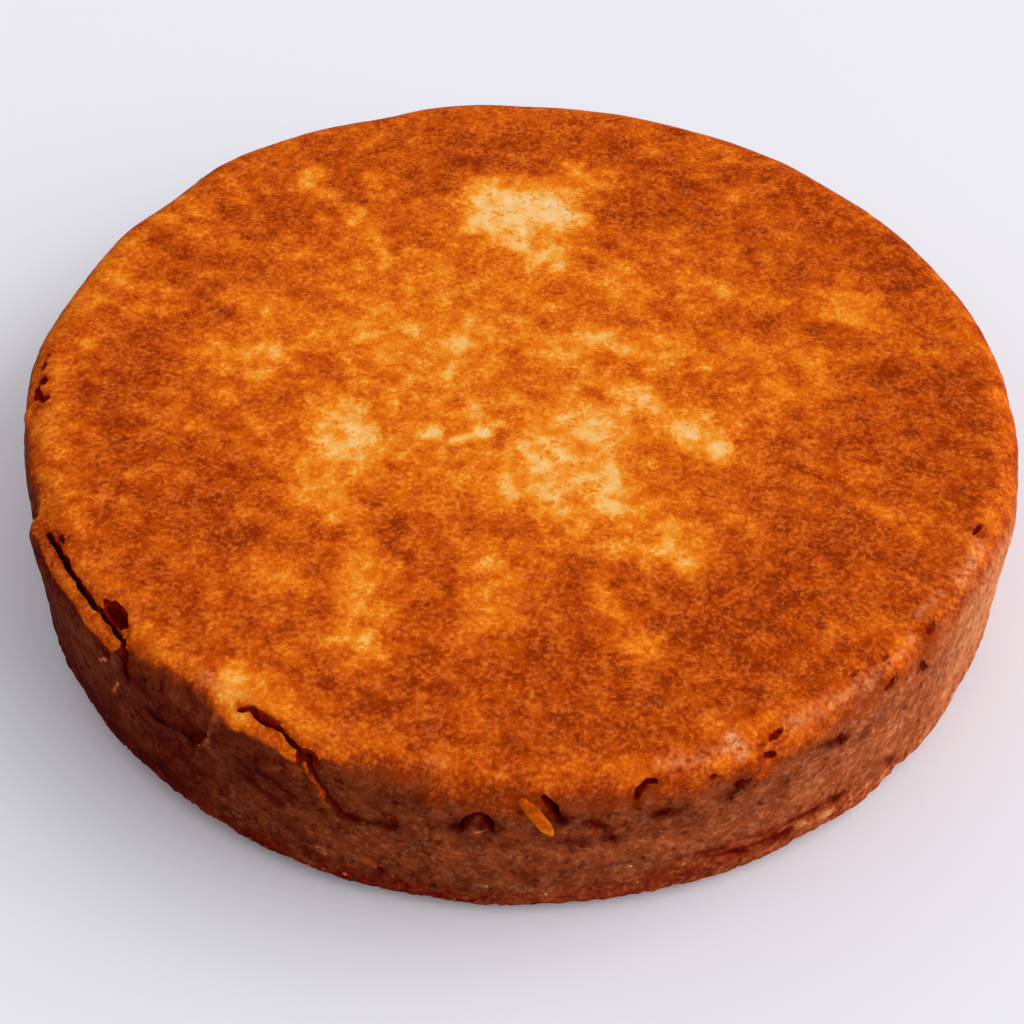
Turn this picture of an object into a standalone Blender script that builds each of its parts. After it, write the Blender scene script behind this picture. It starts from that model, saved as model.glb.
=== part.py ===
"""Vanilla cake, baked in a round tin and turned out upside down.

The cake is one solid.  The crust that lay flat on the base of the tin is on top, a
rounded shoulder leads down to an upright side, and the cake rests on a flat underside.
Two sheets of side crust have come partly away at the left, a slim flake hangs at the
front, and torn pits and cracks lie along the shoulder and above the base.

Units are metres and +Z is up.  The origin is under the middle of the cake.  Angles are
degrees, turning anticlockwise from +X as seen from above, and the front faces -Y.
"""

import math
from typing import NamedTuple

import bmesh
import bpy
from mathutils import Matrix, Vector, noise

MM = 0.001

# Driving sizes of the whole cake.
CAKE_RADIUS = 101.3 * MM
CAKE_HEIGHT = 39.6 * MM
SHOULDER_ROUND = 7.1 * MM
BASE_ROUND = 5.5 * MM

# How unevenly the crust is risen.
SIDE_LUMP = 0.35 * MM
SIDE_LUMP_LENGTH = 13.0 * MM
TOP_WAVE = 0.25 * MM
TOP_WAVE_LENGTH = 34.0 * MM
LOW_SHARE = 0.55
NOISE_ORIGIN = Vector((3.1, 7.4, 1.9))

# How finely the skin is divided.
COARSE_STEP = 3.5
FINE_STEP = 1.2
BASE_STEPS = 3
SIDE_STEPS = 7
SHOULDER_STEPS = 5
TOP_STEPS = 6

CRUST_COLOUR = (0.42, 0.13, 0.022, 1.0)
CRUST_ROUGHNESS = 0.62


class Swell(NamedTuple):
    """A stretch of side that stands out from a true circle, or back from it."""

    angle: float
    outwards: float
    half_width: float


class Peel(NamedTuple):
    """A sheet of side crust that has swung outwards, hinged along its lower edge."""

    start: float
    stop: float
    lean: float
    hinge: float
    lip: float
    lift_start: float
    lift_stop: float


class Stop(NamedTuple):
    """One point of a crack: its angle, its height and its width at the skin."""

    angle: float
    height: float
    width: float


class Crack(NamedTuple):
    """A wedge-shaped gap that follows its stops, straight in or straight down."""

    depth: float
    downwards: bool
    stops: tuple


class Blob(NamedTuple):
    """A rounded pit or lump on the skin, given by its half sizes and its tilt."""

    angle: float
    height: float
    across: float
    tall: float
    through: float
    tilt: float = 0.0


SWELLS = (
    Swell(33.0, -0.4 * MM, 8.0),
    Swell(46.0, -0.6 * MM, 4.0),
    Swell(68.0, -0.8 * MM, 8.0),
    Swell(88.0, -0.7 * MM, 6.0),
    Swell(101.0, 0.5 * MM, 4.0),
    Swell(110.0, -0.8 * MM, 4.0),
    Swell(131.0, 1.4 * MM, 6.0),
    Swell(143.0, -1.2 * MM, 4.0),
    Swell(162.0, -1.0 * MM, 5.0),
    Swell(190.0, -1.4 * MM, 8.0),
    Swell(199.0, -0.9 * MM, 3.5),
    Swell(283.0, -0.3 * MM, 12.0),
    Swell(341.0, 0.5 * MM, 5.0),
)

LEFT_PEEL = Peel(
    start=203.4, stop=224.8, lean=2.0, hinge=22.0 * MM, lip=35.0 * MM,
    lift_start=1.2 * MM, lift_stop=0.4 * MM,
)
FRONT_LEFT_PEEL = Peel(
    start=238.6, stop=248.4, lean=6.0, hinge=20.0 * MM, lip=35.0 * MM,
    lift_start=1.1 * MM, lift_stop=1.7 * MM,
)
PEELS = (LEFT_PEEL, FRONT_LEFT_PEEL)
PEEL_EDGE = 1.0
PEEL_THICKNESS = 2.4 * MM

LEFT_PEEL_GAP = Crack(9.0 * MM, True, (
    Stop(204.9, 36.3 * MM, 0.9 * MM),
    Stop(207.5, 37.5 * MM, 1.6 * MM),
    Stop(212.0, 38.0 * MM, 1.8 * MM),
    Stop(217.5, 37.9 * MM, 1.6 * MM),
    Stop(222.0, 37.9 * MM, 1.2 * MM),
    Stop(224.8, 37.7 * MM, 1.0 * MM),
))
LEFT_PEEL_SLIT = Crack(3.2 * MM, False, (
    Stop(224.6, 37.9 * MM, 1.2 * MM),
    Stop(226.0, 36.1 * MM, 1.3 * MM),
    Stop(226.6, 33.6 * MM, 1.2 * MM),
    Stop(226.8, 31.2 * MM, 0.7 * MM),
))
FRONT_LEFT_PEEL_GAP = Crack(5.0 * MM, True, (
    Stop(240.3, 38.4 * MM, 0.9 * MM),
    Stop(241.8, 38.6 * MM, 1.9 * MM),
    Stop(243.2, 38.7 * MM, 2.4 * MM),
    Stop(244.8, 38.4 * MM, 2.3 * MM),
    Stop(246.2, 37.7 * MM, 1.7 * MM),
    Stop(248.0, 36.8 * MM, 1.3 * MM),
    Stop(249.8, 36.4 * MM, 1.2 * MM),
))
FRONT_LEFT_PEEL_SLIT = Crack(2.8 * MM, False, (
    Stop(248.3, 36.5 * MM, 1.3 * MM),
    Stop(250.4, 32.6 * MM, 1.4 * MM),
    Stop(251.8, 28.0 * MM, 1.2 * MM),
    Stop(253.2, 24.1 * MM, 1.0 * MM),
    Stop(255.4, 22.8 * MM, 0.8 * MM),
    Stop(259.0, 24.2 * MM, 0.5 * MM),
))
ARCHED_CRACK = Crack(2.4 * MM, False, (
    Stop(265.3, 25.9 * MM, 0.8 * MM),
    Stop(265.7, 28.6 * MM, 1.4 * MM),
    Stop(267.0, 30.9 * MM, 1.7 * MM),
    Stop(268.1, 28.6 * MM, 1.4 * MM),
    Stop(268.5, 25.4 * MM, 0.8 * MM),
))
SLOT_BY_FLAKE = Crack(2.6 * MM, False, (
    Stop(272.5, 35.6 * MM, 0.7 * MM),
    Stop(273.7, 32.6 * MM, 1.9 * MM),
    Stop(274.9, 28.0 * MM, 0.7 * MM),
))
HOOKED_CRACK = Crack(1.8 * MM, False, (
    Stop(282.5, 32.4 * MM, 0.8 * MM),
    Stop(282.9, 35.2 * MM, 1.2 * MM),
    Stop(283.8, 36.6 * MM, 1.1 * MM),
    Stop(285.1, 35.4 * MM, 0.6 * MM),
))
SLANTED_CRACK = Crack(2.2 * MM, False, (
    Stop(292.7, 27.8 * MM, 0.6 * MM),
    Stop(293.7, 29.3 * MM, 1.5 * MM),
    Stop(294.8, 31.2 * MM, 0.6 * MM),
))
CREASE_ABOVE_BASE = Crack(1.6 * MM, False, (
    Stop(289.8, 11.1 * MM, 0.6 * MM),
    Stop(294.6, 8.7 * MM, 1.3 * MM),
    Stop(299.4, 8.6 * MM, 1.5 * MM),
    Stop(302.8, 10.9 * MM, 1.2 * MM),
    Stop(306.8, 11.6 * MM, 1.1 * MM),
    Stop(309.0, 12.8 * MM, 0.6 * MM),
))
CRACKS = (
    LEFT_PEEL_GAP, LEFT_PEEL_SLIT, FRONT_LEFT_PEEL_GAP, FRONT_LEFT_PEEL_SLIT,
    ARCHED_CRACK, SLOT_BY_FLAKE, HOOKED_CRACK, SLANTED_CRACK, CREASE_ABOVE_BASE,
)

PITS = (
    Blob(221.8, 39.0 * MM, 4.2 * MM, 1.7 * MM, 3.4 * MM),
    Blob(208.7, 38.7 * MM, 1.3 * MM, 0.8 * MM, 1.5 * MM),
    Blob(250.2, 36.8 * MM, 2.6 * MM, 1.4 * MM, 3.0 * MM, -14.0),
    Blob(235.6, 27.9 * MM, 1.7 * MM, 1.1 * MM, 2.2 * MM, 10.0),
    Blob(231.7, 26.3 * MM, 1.3 * MM, 0.9 * MM, 1.3 * MM),
    Blob(257.0, 9.6 * MM, 0.9 * MM, 0.8 * MM, 1.4 * MM),
    Blob(297.6, 35.6 * MM, 2.3 * MM, 2.6 * MM, 1.1 * MM, 20.0),
    Blob(297.8, 38.1 * MM, 1.5 * MM, 0.8 * MM, 1.6 * MM, 15.0),
    Blob(296.1, 35.1 * MM, 1.1 * MM, 0.6 * MM, 2.2 * MM),
    Blob(305.5, 30.1 * MM, 1.2 * MM, 1.0 * MM, 1.3 * MM),
    Blob(312.7, 36.1 * MM, 1.8 * MM, 0.7 * MM, 1.6 * MM, 18.0),
    Blob(320.7, 38.0 * MM, 1.5 * MM, 0.9 * MM, 1.8 * MM, 10.0),
    Blob(318.2, 33.5 * MM, 0.9 * MM, 1.1 * MM, 1.2 * MM),
    Blob(336.2, 39.4 * MM, 1.5 * MM, 0.7 * MM, 1.4 * MM),
    Blob(179.0, 38.6 * MM, 1.3 * MM, 0.9 * MM, 1.4 * MM),
    Blob(183.3, 38.2 * MM, 2.0 * MM, 0.9 * MM, 1.8 * MM),
    Blob(185.0, 39.2 * MM, 1.0 * MM, 1.2 * MM, 1.5 * MM),
)

LUMPS = (
    Blob(272.5, 30.6 * MM, 1.0 * MM, 5.4 * MM, 1.3 * MM, 33.0),
    Blob(186.2, 36.6 * MM, 2.0 * MM, 1.2 * MM, 1.2 * MM, 8.0),
    Blob(266.9, 27.4 * MM, 0.9 * MM, 1.6 * MM, 0.8 * MM),
    Blob(234.2, 30.4 * MM, 2.6 * MM, 1.8 * MM, 0.8 * MM, 14.0),
    Blob(249.2, 6.8 * MM, 1.5 * MM, 1.2 * MM, 0.9 * MM, 12.0),
    Blob(251.0, 10.4 * MM, 1.3 * MM, 0.8 * MM, 0.7 * MM, -14.0),
    Blob(252.2, 7.4 * MM, 1.1 * MM, 1.3 * MM, 1.0 * MM),
    Blob(253.0, 5.2 * MM, 1.0 * MM, 1.0 * MM, 0.9 * MM),
    Blob(250.5, 4.6 * MM, 1.2 * MM, 0.9 * MM, 0.9 * MM),
    Blob(272.6, 4.0 * MM, 1.3 * MM, 0.9 * MM, 0.7 * MM),
    Blob(283.4, 7.6 * MM, 1.5 * MM, 1.1 * MM, 0.7 * MM, -20.0),
)

RAGGEDNESS = 0.18
CUT_CLEARANCE = 1.5 * MM
CRACK_FLOOR = 0.3 * MM
SHORTEST_EDGE = 0.03 * MM


def unit_circle(angle):
    """Direction from the axis towards an angle in degrees."""
    turn = math.radians(angle)
    return Vector((math.cos(turn), math.sin(turn), 0.0))


def smooth_step(value, low, high):
    """Ease from 0 at low to 1 at high."""
    share = min(max((value - low) / (high - low), 0.0), 1.0)
    return share * share * (3.0 - 2.0 * share)


def swell_at(angle):
    """Sum of the bell-shaped swells at an angle."""
    total = 0.0
    for swell in SWELLS:
        turn = (angle - swell.angle + 180.0) % 360.0 - 180.0
        total += swell.outwards * math.exp(-0.5 * (turn / swell.half_width) ** 2)
    return total


def peel_lift(peel, angle, inset, height):
    """How far a peeled sheet stands off the side, zero outside the sheet."""
    rise = smooth_step(height, peel.hinge, peel.lip)
    rise *= 1.0 - smooth_step(inset, PEEL_THICKNESS / 2.0, PEEL_THICKNESS)
    stop = peel.stop + peel.lean * (1.0 - rise)
    along = (angle - peel.start) / (stop - peel.start)
    lift = peel.lift_start + (peel.lift_stop - peel.lift_start) * min(max(along, 0.0), 1.0)
    opened = smooth_step(angle, peel.start - PEEL_EDGE, peel.start)
    closed = smooth_step(angle, stop, stop + PEEL_EDGE)
    return lift * rise * opened * (1.0 - closed)


def inset_at(height):
    """How far in from the upright side the rounded profile is at a height."""
    if height < BASE_ROUND:
        radius, fall = BASE_ROUND, BASE_ROUND - height
    else:
        radius, fall = SHOULDER_ROUND, max(height - (CAKE_HEIGHT - SHOULDER_ROUND), 0.0)
    return radius - math.sqrt(max(radius ** 2 - fall ** 2, 0.0))


def skin_point(angle, inset, height):
    """Point of the skin, with the swells, the peeled sheets and the soft lumps."""
    out = unit_circle(angle)
    rise = height / CAKE_HEIGHT
    offset = swell_at(angle) * (LOW_SHARE + (1.0 - LOW_SHARE) * rise)
    for peel in PEELS:
        offset += peel_lift(peel, angle, inset, height)
    point = out * (CAKE_RADIUS - inset) + Vector((0.0, 0.0, height))
    offset += SIDE_LUMP * noise.noise(point / SIDE_LUMP_LENGTH + NOISE_ORIGIN)
    offset *= (1.0 - inset / CAKE_RADIUS) ** 2
    if inset >= SHOULDER_ROUND:
        wave = TOP_WAVE * noise.noise(point / TOP_WAVE_LENGTH + NOISE_ORIGIN)
        point.z += wave * smooth_step(inset, SHOULDER_ROUND, 2.0 * SHOULDER_ROUND)
    return point + out * offset


def skin_normal(angle, height):
    """Outward direction of the smooth profile at a height."""
    if height < BASE_ROUND:
        slope = (height - BASE_ROUND) / BASE_ROUND
    else:
        slope = max(height - (CAKE_HEIGHT - SHOULDER_ROUND), 0.0) / SHOULDER_ROUND
    slope = min(max(slope, -1.0), 1.0)
    return unit_circle(angle) * math.sqrt(1.0 - slope ** 2) + Vector((0.0, 0.0, slope))


def profile_rows():
    """Half outline of the cake from the underside to near the middle of the top."""
    rows = []
    for step in range(BASE_STEPS):
        turn = math.radians(90.0 * step / BASE_STEPS)
        rows.append((BASE_ROUND * (1.0 - math.sin(turn)), BASE_ROUND * (1.0 - math.cos(turn))))
    side_top = CAKE_HEIGHT - SHOULDER_ROUND
    for step in range(SIDE_STEPS):
        rows.append((0.0, BASE_ROUND + (side_top - BASE_ROUND) * step / SIDE_STEPS))
    for step in range(SHOULDER_STEPS):
        turn = math.radians(90.0 * step / SHOULDER_STEPS)
        rise = side_top + SHOULDER_ROUND * math.sin(turn)
        rows.append((SHOULDER_ROUND * (1.0 - math.cos(turn)), rise))
    for step in range(TOP_STEPS):
        inset = SHOULDER_ROUND + (CAKE_RADIUS - SHOULDER_ROUND) * step / TOP_STEPS
        rows.append((inset, CAKE_HEIGHT))
    return rows


def ring_angles():
    """Angles of the upright edges, closer together where crust has come away."""
    angles = []
    angle = 0.0
    while angle < 360.0 - 0.5 * COARSE_STEP:
        angles.append(angle)
        fine = any(
            peel.start - 2.0 * PEEL_EDGE <= angle <= peel.stop + max(peel.lean, 0.0) + PEEL_EDGE
            for peel in PEELS
        )
        angle += FINE_STEP if fine else COARSE_STEP
    return angles


def make_body():
    """The cake without its pits, cracks, flake and crumbs."""
    body = bmesh.new()
    angles = ring_angles()
    rings = []
    for inset, height in profile_rows():
        rings.append([body.verts.new(skin_point(angle, inset, height)) for angle in angles])
    count = len(angles)
    for lower, upper in zip(rings, rings[1:]):
        for index in range(count):
            after = (index + 1) % count
            body.faces.new((lower[index], lower[after], upper[after], upper[index]))
    body.faces.new(list(reversed(rings[0])))
    middle = body.verts.new((0.0, 0.0, CAKE_HEIGHT))
    for index in range(count):
        body.faces.new((rings[-1][index], rings[-1][(index + 1) % count], middle))
    return body


def add_blob(blobs, blob):
    """Add one ragged rounded form, turned to lie in the skin."""
    inset = inset_at(blob.height)
    centre = skin_point(blob.angle, inset, blob.height)
    normal = skin_normal(blob.angle, blob.height)
    around = Vector((0.0, 0.0, 1.0)).cross(unit_circle(blob.angle))
    upwards = normal.cross(around)
    spin = Matrix.Rotation(math.radians(blob.tilt), 3, "Z")
    frame = Matrix((around, upwards, normal)).transposed() @ spin
    sizes = Vector((blob.across, blob.tall, blob.through))
    made = bmesh.ops.create_icosphere(blobs, subdivisions=2, radius=1.0)
    for vert in made["verts"]:
        seed = vert.co * 1.7 + centre / MM
        swell = 1.0 + RAGGEDNESS * noise.noise(seed)
        vert.co = centre + frame @ (vert.co * sizes * swell)


def add_crack(cutters, crack):
    """Add the wedge that cuts one crack."""
    places = [skin_point(stop.angle, inset_at(stop.height), stop.height) for stop in crack.stops]
    sections = []
    for index, stop in enumerate(crack.stops):
        before = places[max(index - 1, 0)]
        after = places[min(index + 1, len(places) - 1)]
        inwards = -skin_normal(stop.angle, stop.height)
        if crack.downwards:
            inwards = Vector((0.0, 0.0, -1.0))
        sideways = (after - before).cross(inwards).normalized()
        outer = places[index] - inwards * CUT_CLEARANCE
        inner = places[index] + inwards * crack.depth
        mouth = stop.width * (1.0 + CUT_CLEARANCE / crack.depth)
        corners = (
            outer - sideways * mouth / 2.0,
            outer + sideways * mouth / 2.0,
            inner + sideways * CRACK_FLOOR / 2.0,
            inner - sideways * CRACK_FLOOR / 2.0,
        )
        sections.append([cutters.verts.new(corner) for corner in corners])
    for first, second in zip(sections, sections[1:]):
        for corner in range(4):
            after = (corner + 1) % 4
            cutters.faces.new((first[corner], first[after], second[after], second[corner]))
    cutters.faces.new(list(reversed(sections[0])))
    cutters.faces.new(sections[-1])


def make_object(name, shape):
    """Turn a finished bmesh into an object with outward faces."""
    bmesh.ops.recalc_face_normals(shape, faces=shape.faces)
    mesh = bpy.data.meshes.new(name)
    shape.to_mesh(mesh)
    shape.free()
    thing = bpy.data.objects.new(name, mesh)
    bpy.context.scene.collection.objects.link(thing)
    return thing


def make_group(name, makers):
    """Make one object for each maker and gather them in a collection."""
    group = bpy.data.collections.new(name)
    bpy.context.scene.collection.children.link(group)
    for index, maker in enumerate(makers):
        shape = bmesh.new()
        maker(shape)
        piece = make_object(f"{name}_{index}", shape)
        bpy.context.scene.collection.objects.unlink(piece)
        group.objects.link(piece)
        piece.hide_render = True
        piece.display_type = "WIRE"
    return group


def combine(cake, group, operation):
    """Apply one Boolean with a whole collection, then remove the collection."""
    joint = cake.modifiers.new(operation.title(), "BOOLEAN")
    joint.operation = operation
    joint.operand_type = "COLLECTION"
    joint.collection = group
    joint.solver = "EXACT"
    bpy.context.view_layer.objects.active = cake
    bpy.ops.object.modifier_apply(modifier=joint.name)
    for piece in list(group.objects):
        bpy.data.objects.remove(piece)
    bpy.data.collections.remove(group)


def hollow_makers():
    """Makers of everything that is cut out of the cake."""
    pits = [lambda shape, pit=pit: add_blob(shape, pit) for pit in PITS]
    cracks = [lambda shape, crack=crack: add_crack(shape, crack) for crack in CRACKS]
    return pits + cracks


def crust_material():
    """Baked golden-brown crust."""
    material = bpy.data.materials.new("baked_crust")
    material.use_nodes = True
    shader = material.node_tree.nodes["Principled BSDF"]
    shader.inputs["Base Color"].default_value = CRUST_COLOUR
    shader.inputs["Roughness"].default_value = CRUST_ROUGHNESS
    shader.inputs["Metallic"].default_value = 0.0
    return material


def clear_slivers(mesh):
    """Close up the tiny edges that the cuts leave, and split every face into triangles."""
    skin = bmesh.new()
    skin.from_mesh(mesh)
    bmesh.ops.dissolve_degenerate(skin, dist=SHORTEST_EDGE, edges=skin.edges)
    bmesh.ops.triangulate(skin, faces=skin.faces)
    bmesh.ops.dissolve_degenerate(skin, dist=SHORTEST_EDGE, edges=skin.edges)
    skin.to_mesh(mesh)
    skin.free()


def centre_on_origin(mesh):
    """Move the mesh so that the origin is under the middle of its box."""
    for axis in (0, 1):
        places = [vert.co[axis] for vert in mesh.vertices]
        middle = (min(places) + max(places)) / 2.0
        for vert in mesh.vertices:
            vert.co[axis] -= middle


def main():
    """Build the cake."""
    for thing in list(bpy.data.objects):
        bpy.data.objects.remove(thing)
    cake = make_object("cake", make_body())
    cake.data.materials.append(crust_material())
    lumps = make_group("lump", [lambda shape, lump=lump: add_blob(shape, lump) for lump in LUMPS])
    combine(cake, lumps, "UNION")
    hollows = make_group("hollow", hollow_makers())
    combine(cake, hollows, "DIFFERENCE")
    clear_slivers(cake.data)
    centre_on_origin(cake.data)
    cake.data.shade_smooth()
    cake.data.set_sharp_from_angle(angle=math.radians(35.0))


main()
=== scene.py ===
"""Looks of a vanilla cake, baked in a round tin and turned out upside down.

The crust is one closed skin with its soft lumps, its two sheets of loosened side crust,
torn cracks and pits.  A slim hanging flake and the crumbs above the base are pieces of
their own.  Units are metres and +Z is up.  Angles are degrees, turning anticlockwise
from +X as seen from above, and the front faces -Y.
"""

import logging
import math
from dataclasses import dataclass, field
from enum import Enum

import bpy
import numpy as np
from mathutils import Matrix, Vector, noise

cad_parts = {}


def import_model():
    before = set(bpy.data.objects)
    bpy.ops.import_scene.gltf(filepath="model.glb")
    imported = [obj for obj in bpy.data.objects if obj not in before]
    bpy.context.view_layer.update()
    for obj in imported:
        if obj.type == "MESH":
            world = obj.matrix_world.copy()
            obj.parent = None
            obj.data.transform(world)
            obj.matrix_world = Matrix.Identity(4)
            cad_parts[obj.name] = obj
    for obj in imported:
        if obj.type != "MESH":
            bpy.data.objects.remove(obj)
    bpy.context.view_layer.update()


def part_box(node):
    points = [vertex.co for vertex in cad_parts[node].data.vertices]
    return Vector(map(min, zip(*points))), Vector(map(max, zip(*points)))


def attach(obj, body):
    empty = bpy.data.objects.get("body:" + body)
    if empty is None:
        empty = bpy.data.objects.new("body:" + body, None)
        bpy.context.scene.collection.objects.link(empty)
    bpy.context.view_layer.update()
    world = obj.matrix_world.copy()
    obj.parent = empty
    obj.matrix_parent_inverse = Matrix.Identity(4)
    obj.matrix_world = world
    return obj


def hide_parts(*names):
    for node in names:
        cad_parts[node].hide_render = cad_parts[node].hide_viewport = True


MM = 0.001
LAYER_STEP = 17.3
NODE = "cake"
BODY = "root"

log = logging.getLogger("cake")

Colour = tuple[float, float, float]
Stops = tuple[tuple[float, Colour], ...]
Rows = tuple[tuple[float, ...], ...]
Range = tuple[float, float]
Socket = bpy.types.NodeSocket


# ---------------------------------------------------------------- small helpers


def smooth_step(value: np.ndarray, low: float, high: float) -> np.ndarray:
    """Ease from 0 at low to 1 at high.

    Args:
        value: What is eased.
        low: Where the ease starts.
        high: Where it ends.

    Returns:
        The eased share, from 0 to 1.
    """
    share = np.clip((np.asarray(value) - low) / (high - low), 0.0, 1.0)
    return share * share * (3.0 - 2.0 * share)


def turn_between(angle: np.ndarray, other: float) -> np.ndarray:
    """Signed turn in degrees from one direction to another, from -180 to 180."""
    return (np.asarray(angle) - other + 180.0) % 360.0 - 180.0


def unit_circle(angle: np.ndarray) -> np.ndarray:
    """Outward directions for angles in degrees, one row for each."""
    turn = np.radians(np.asarray(angle, dtype=float))
    return np.stack([np.cos(turn), np.sin(turn), np.zeros_like(turn)], axis=-1)


def grain(points: np.ndarray, size: float, layer: float = 0.0) -> np.ndarray:
    """Smooth seeded noise.

    Args:
        points: Places in metres, one row for each.
        size: How far apart the noise's swellings are, in metres.
        layer: Which of many independent noises is read.

    Returns:
        A value from about -1 to 1 for each place.
    """
    places = points / size + CakeForm.noise_origin + LAYER_STEP * layer
    return np.array([noise.noise(place) for place in places.tolist()])


def layered(points: np.ndarray, layers: Rows) -> np.ndarray:
    """Noises summed, each given by its share, its size in mm and its layer."""
    return sum(share * grain(points, size * MM, layer) for share, size, layer in layers)


def angle_of(points: np.ndarray) -> np.ndarray:
    """Which way places lie from the cake's axis, in degrees from 0 to 360."""
    return np.degrees(np.arctan2(points[:, 1], points[:, 0])) % 360.0


def read_off(table: Rows, angle: np.ndarray) -> np.ndarray:
    """Values at angles, read between the rows of a table of (angle, value)."""
    return np.interp(angle, *np.array(table).T)


def ridges(points: np.ndarray, size: float, layer: float = 0.0) -> np.ndarray:
    """Noise of sharp crests, from 0 in the hollows to 1 on the crests."""
    return 1.0 - np.abs(grain(points, size, layer)) * 2.0


def deselect_all() -> None:
    """Leave edit mode and clear the selection."""
    if bpy.context.object is not None and bpy.context.object.mode != "OBJECT":
        bpy.ops.object.mode_set(mode="OBJECT")
    bpy.ops.object.select_all(action="DESELECT")


def pick(piece: bpy.types.Object) -> None:
    """Select one piece alone, and make it the active one.

    Args:
        piece: The piece.
    """
    deselect_all()
    piece.select_set(True)
    bpy.context.view_layer.objects.active = piece


def take(name: str) -> bpy.types.Object:
    """Name the primitive that was just added, and its mesh.

    Args:
        name: The piece's name.

    Returns:
        The primitive's object.
    """
    piece = bpy.context.object
    piece.name = name
    piece.data.name = name
    return piece


def places_of(piece: bpy.types.Object) -> np.ndarray:
    """All vertex places of a piece, one row for each.

    Args:
        piece: The piece.

    Returns:
        The places in metres.
    """
    flat = np.empty(len(piece.data.vertices) * 3)
    piece.data.vertices.foreach_get("co", flat)
    return flat.reshape(-1, 3)


def move_to(piece: bpy.types.Object, places: np.ndarray) -> None:
    """Put every vertex of a piece at a place."""
    piece.data.vertices.foreach_set("co", np.ascontiguousarray(places).ravel())
    piece.data.update()


def write_field(piece: bpy.types.Object, name: str, values: np.ndarray) -> None:
    """Store one number for each vertex, for the finish to read."""
    layer = piece.data.attributes.new(name, "FLOAT", "POINT")
    layer.data.foreach_set("value", values.astype(np.float32))


# ---------------------------------------------------------------- the cake's form


class Way(Enum):
    """Which way a crack runs into the cake."""

    INWARDS = "inwards"
    DOWNWARDS = "downwards"


class Paint(Enum):
    """What a stroke on the side or the shoulder changes."""

    BAKE = "bake"
    TONE = "tone"
    GOLD = "gold"
    # Pale crumbs, and painted sheen of the light on the shoulder and the right side.
    BLOOM = "bloom"


@dataclass(frozen=True)
class Swell:
    """A stretch of side that stands out from a true circle, or back from it."""

    angle: float
    outwards: float
    half_width: float


@dataclass(frozen=True)
class Peel:
    """A sheet of side crust that has swung outwards, hinged along its lower edge."""

    start: float
    stop: float
    lean: float
    hinge: float
    lip: float
    lift_start: float
    lift_stop: float


@dataclass(frozen=True)
class Crack:
    """A wedge-shaped gap along stops of (angle, height in mm, width in mm)."""

    name: str
    depth: float
    way: Way
    stops: tuple[tuple[float, float, float], ...]


@dataclass(frozen=True)
class Blob:
    """A rounded pit or lump on the skin: angle, height, half sizes in mm, and tilt."""

    angle: float
    height: float
    across: float
    tall: float
    through: float
    tilt: float = 0.0


SWELLS = tuple(Swell(*row) for row in (
    (33, -0.4, 8), (46, -0.6, 4), (68, -0.8, 8), (88, -0.7, 6), (101, 0.5, 4), (110, -0.8, 4),
    (131, 1.4, 6), (143, -1.2, 4), (162, -1, 5), (190, -1.4, 8), (199, -0.9, 3.5), (283, -0.3, 12),
    (341, 0.5, 5),
))

LEFT_PEEL = Peel(
    start=203.4, stop=224.8, lean=2.0, hinge=22.0 * MM, lip=35.0 * MM,
    lift_start=1.2 * MM, lift_stop=0.4 * MM,
)
FRONT_LEFT_PEEL = Peel(
    start=238.6, stop=248.4, lean=6.0, hinge=20.0 * MM, lip=35.0 * MM,
    lift_start=1.1 * MM, lift_stop=1.7 * MM,
)
PEELS = (LEFT_PEEL, FRONT_LEFT_PEEL)

CRACKS = (
    Crack("left_gap", 5.0 * MM, Way.DOWNWARDS, (
        (206.2, 37.6, 0.9), (208.5, 38.1, 1.4), (212.0, 38.3, 1.3),
        (217.5, 38.2, 1.2), (222.0, 38.1, 1.0), (224.8, 37.9, 0.9),
    )),
    Crack("left_slit", 3.8 * MM, Way.INWARDS, (
        (224.6, 38.0, 1.2), (226.0, 36.4, 1.5), (226.6, 33.6, 1.6), (226.8, 31.2, 0.9),
    )),
    Crack("front_left_gap", 2.1 * MM, Way.DOWNWARDS, (
        (240.6, 38.5, 0.6), (241.8, 38.9, 1.6), (243.2, 38.8, 2.0), (244.8, 38.5, 1.3),
        (246.4, 38.2, 0.8), (248.0, 37.7, 0.9), (249.4, 37.1, 1.2),
    )),
    Crack("front_left_slit", 2.8 * MM, Way.INWARDS, (
        (249.0, 37.2, 1.3), (250.6, 32.8, 1.4), (251.8, 28.4, 1.3), (253.1, 24.6, 1.0),
        (254.4, 23.7, 0.7), (256.2, 23.4, 0.5), (258.4, 24.0, 0.4),
    )),
    Crack("arched_crack", 3.0 * MM, Way.INWARDS, (
        (265.2, 24.6, 0.8), (265.3, 26.8, 1.9), (266.1, 29.4, 1.3), (267.0, 30.8, 2.0),
        (267.9, 28.6, 2.7), (268.4, 25.6, 0.9),
    )),
    Crack("slot_by_flake", 3.2 * MM, Way.INWARDS, (
        (273.2, 35.8, 0.9), (274.2, 32.8, 2.4), (275.2, 28.6, 0.9),
    )),
    Crack("hooked_crack", 1.8 * MM, Way.INWARDS, (
        (282.3, 32.6, 0.8), (282.8, 34.9, 1.8), (283.6, 36.2, 1.7), (284.8, 35.9, 0.8),
    )),
    Crack("slanted_crack", 2.2 * MM, Way.INWARDS, (
        (292.7, 27.8, 0.6), (293.7, 29.3, 1.5), (294.8, 31.2, 0.6),
    )),
    Crack("crease_above_base", 1.0 * MM, Way.INWARDS, (
        (290.8, 10.6, 0.5), (293.6, 9.1, 1.5), (296.4, 8.4, 0.8), (299.4, 8.5, 1.7),
        (301.6, 10.2, 0.7), (304.2, 11.3, 1.5), (306.8, 11.6, 0.8), (308.2, 12.4, 0.5),
    )),
)

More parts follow.
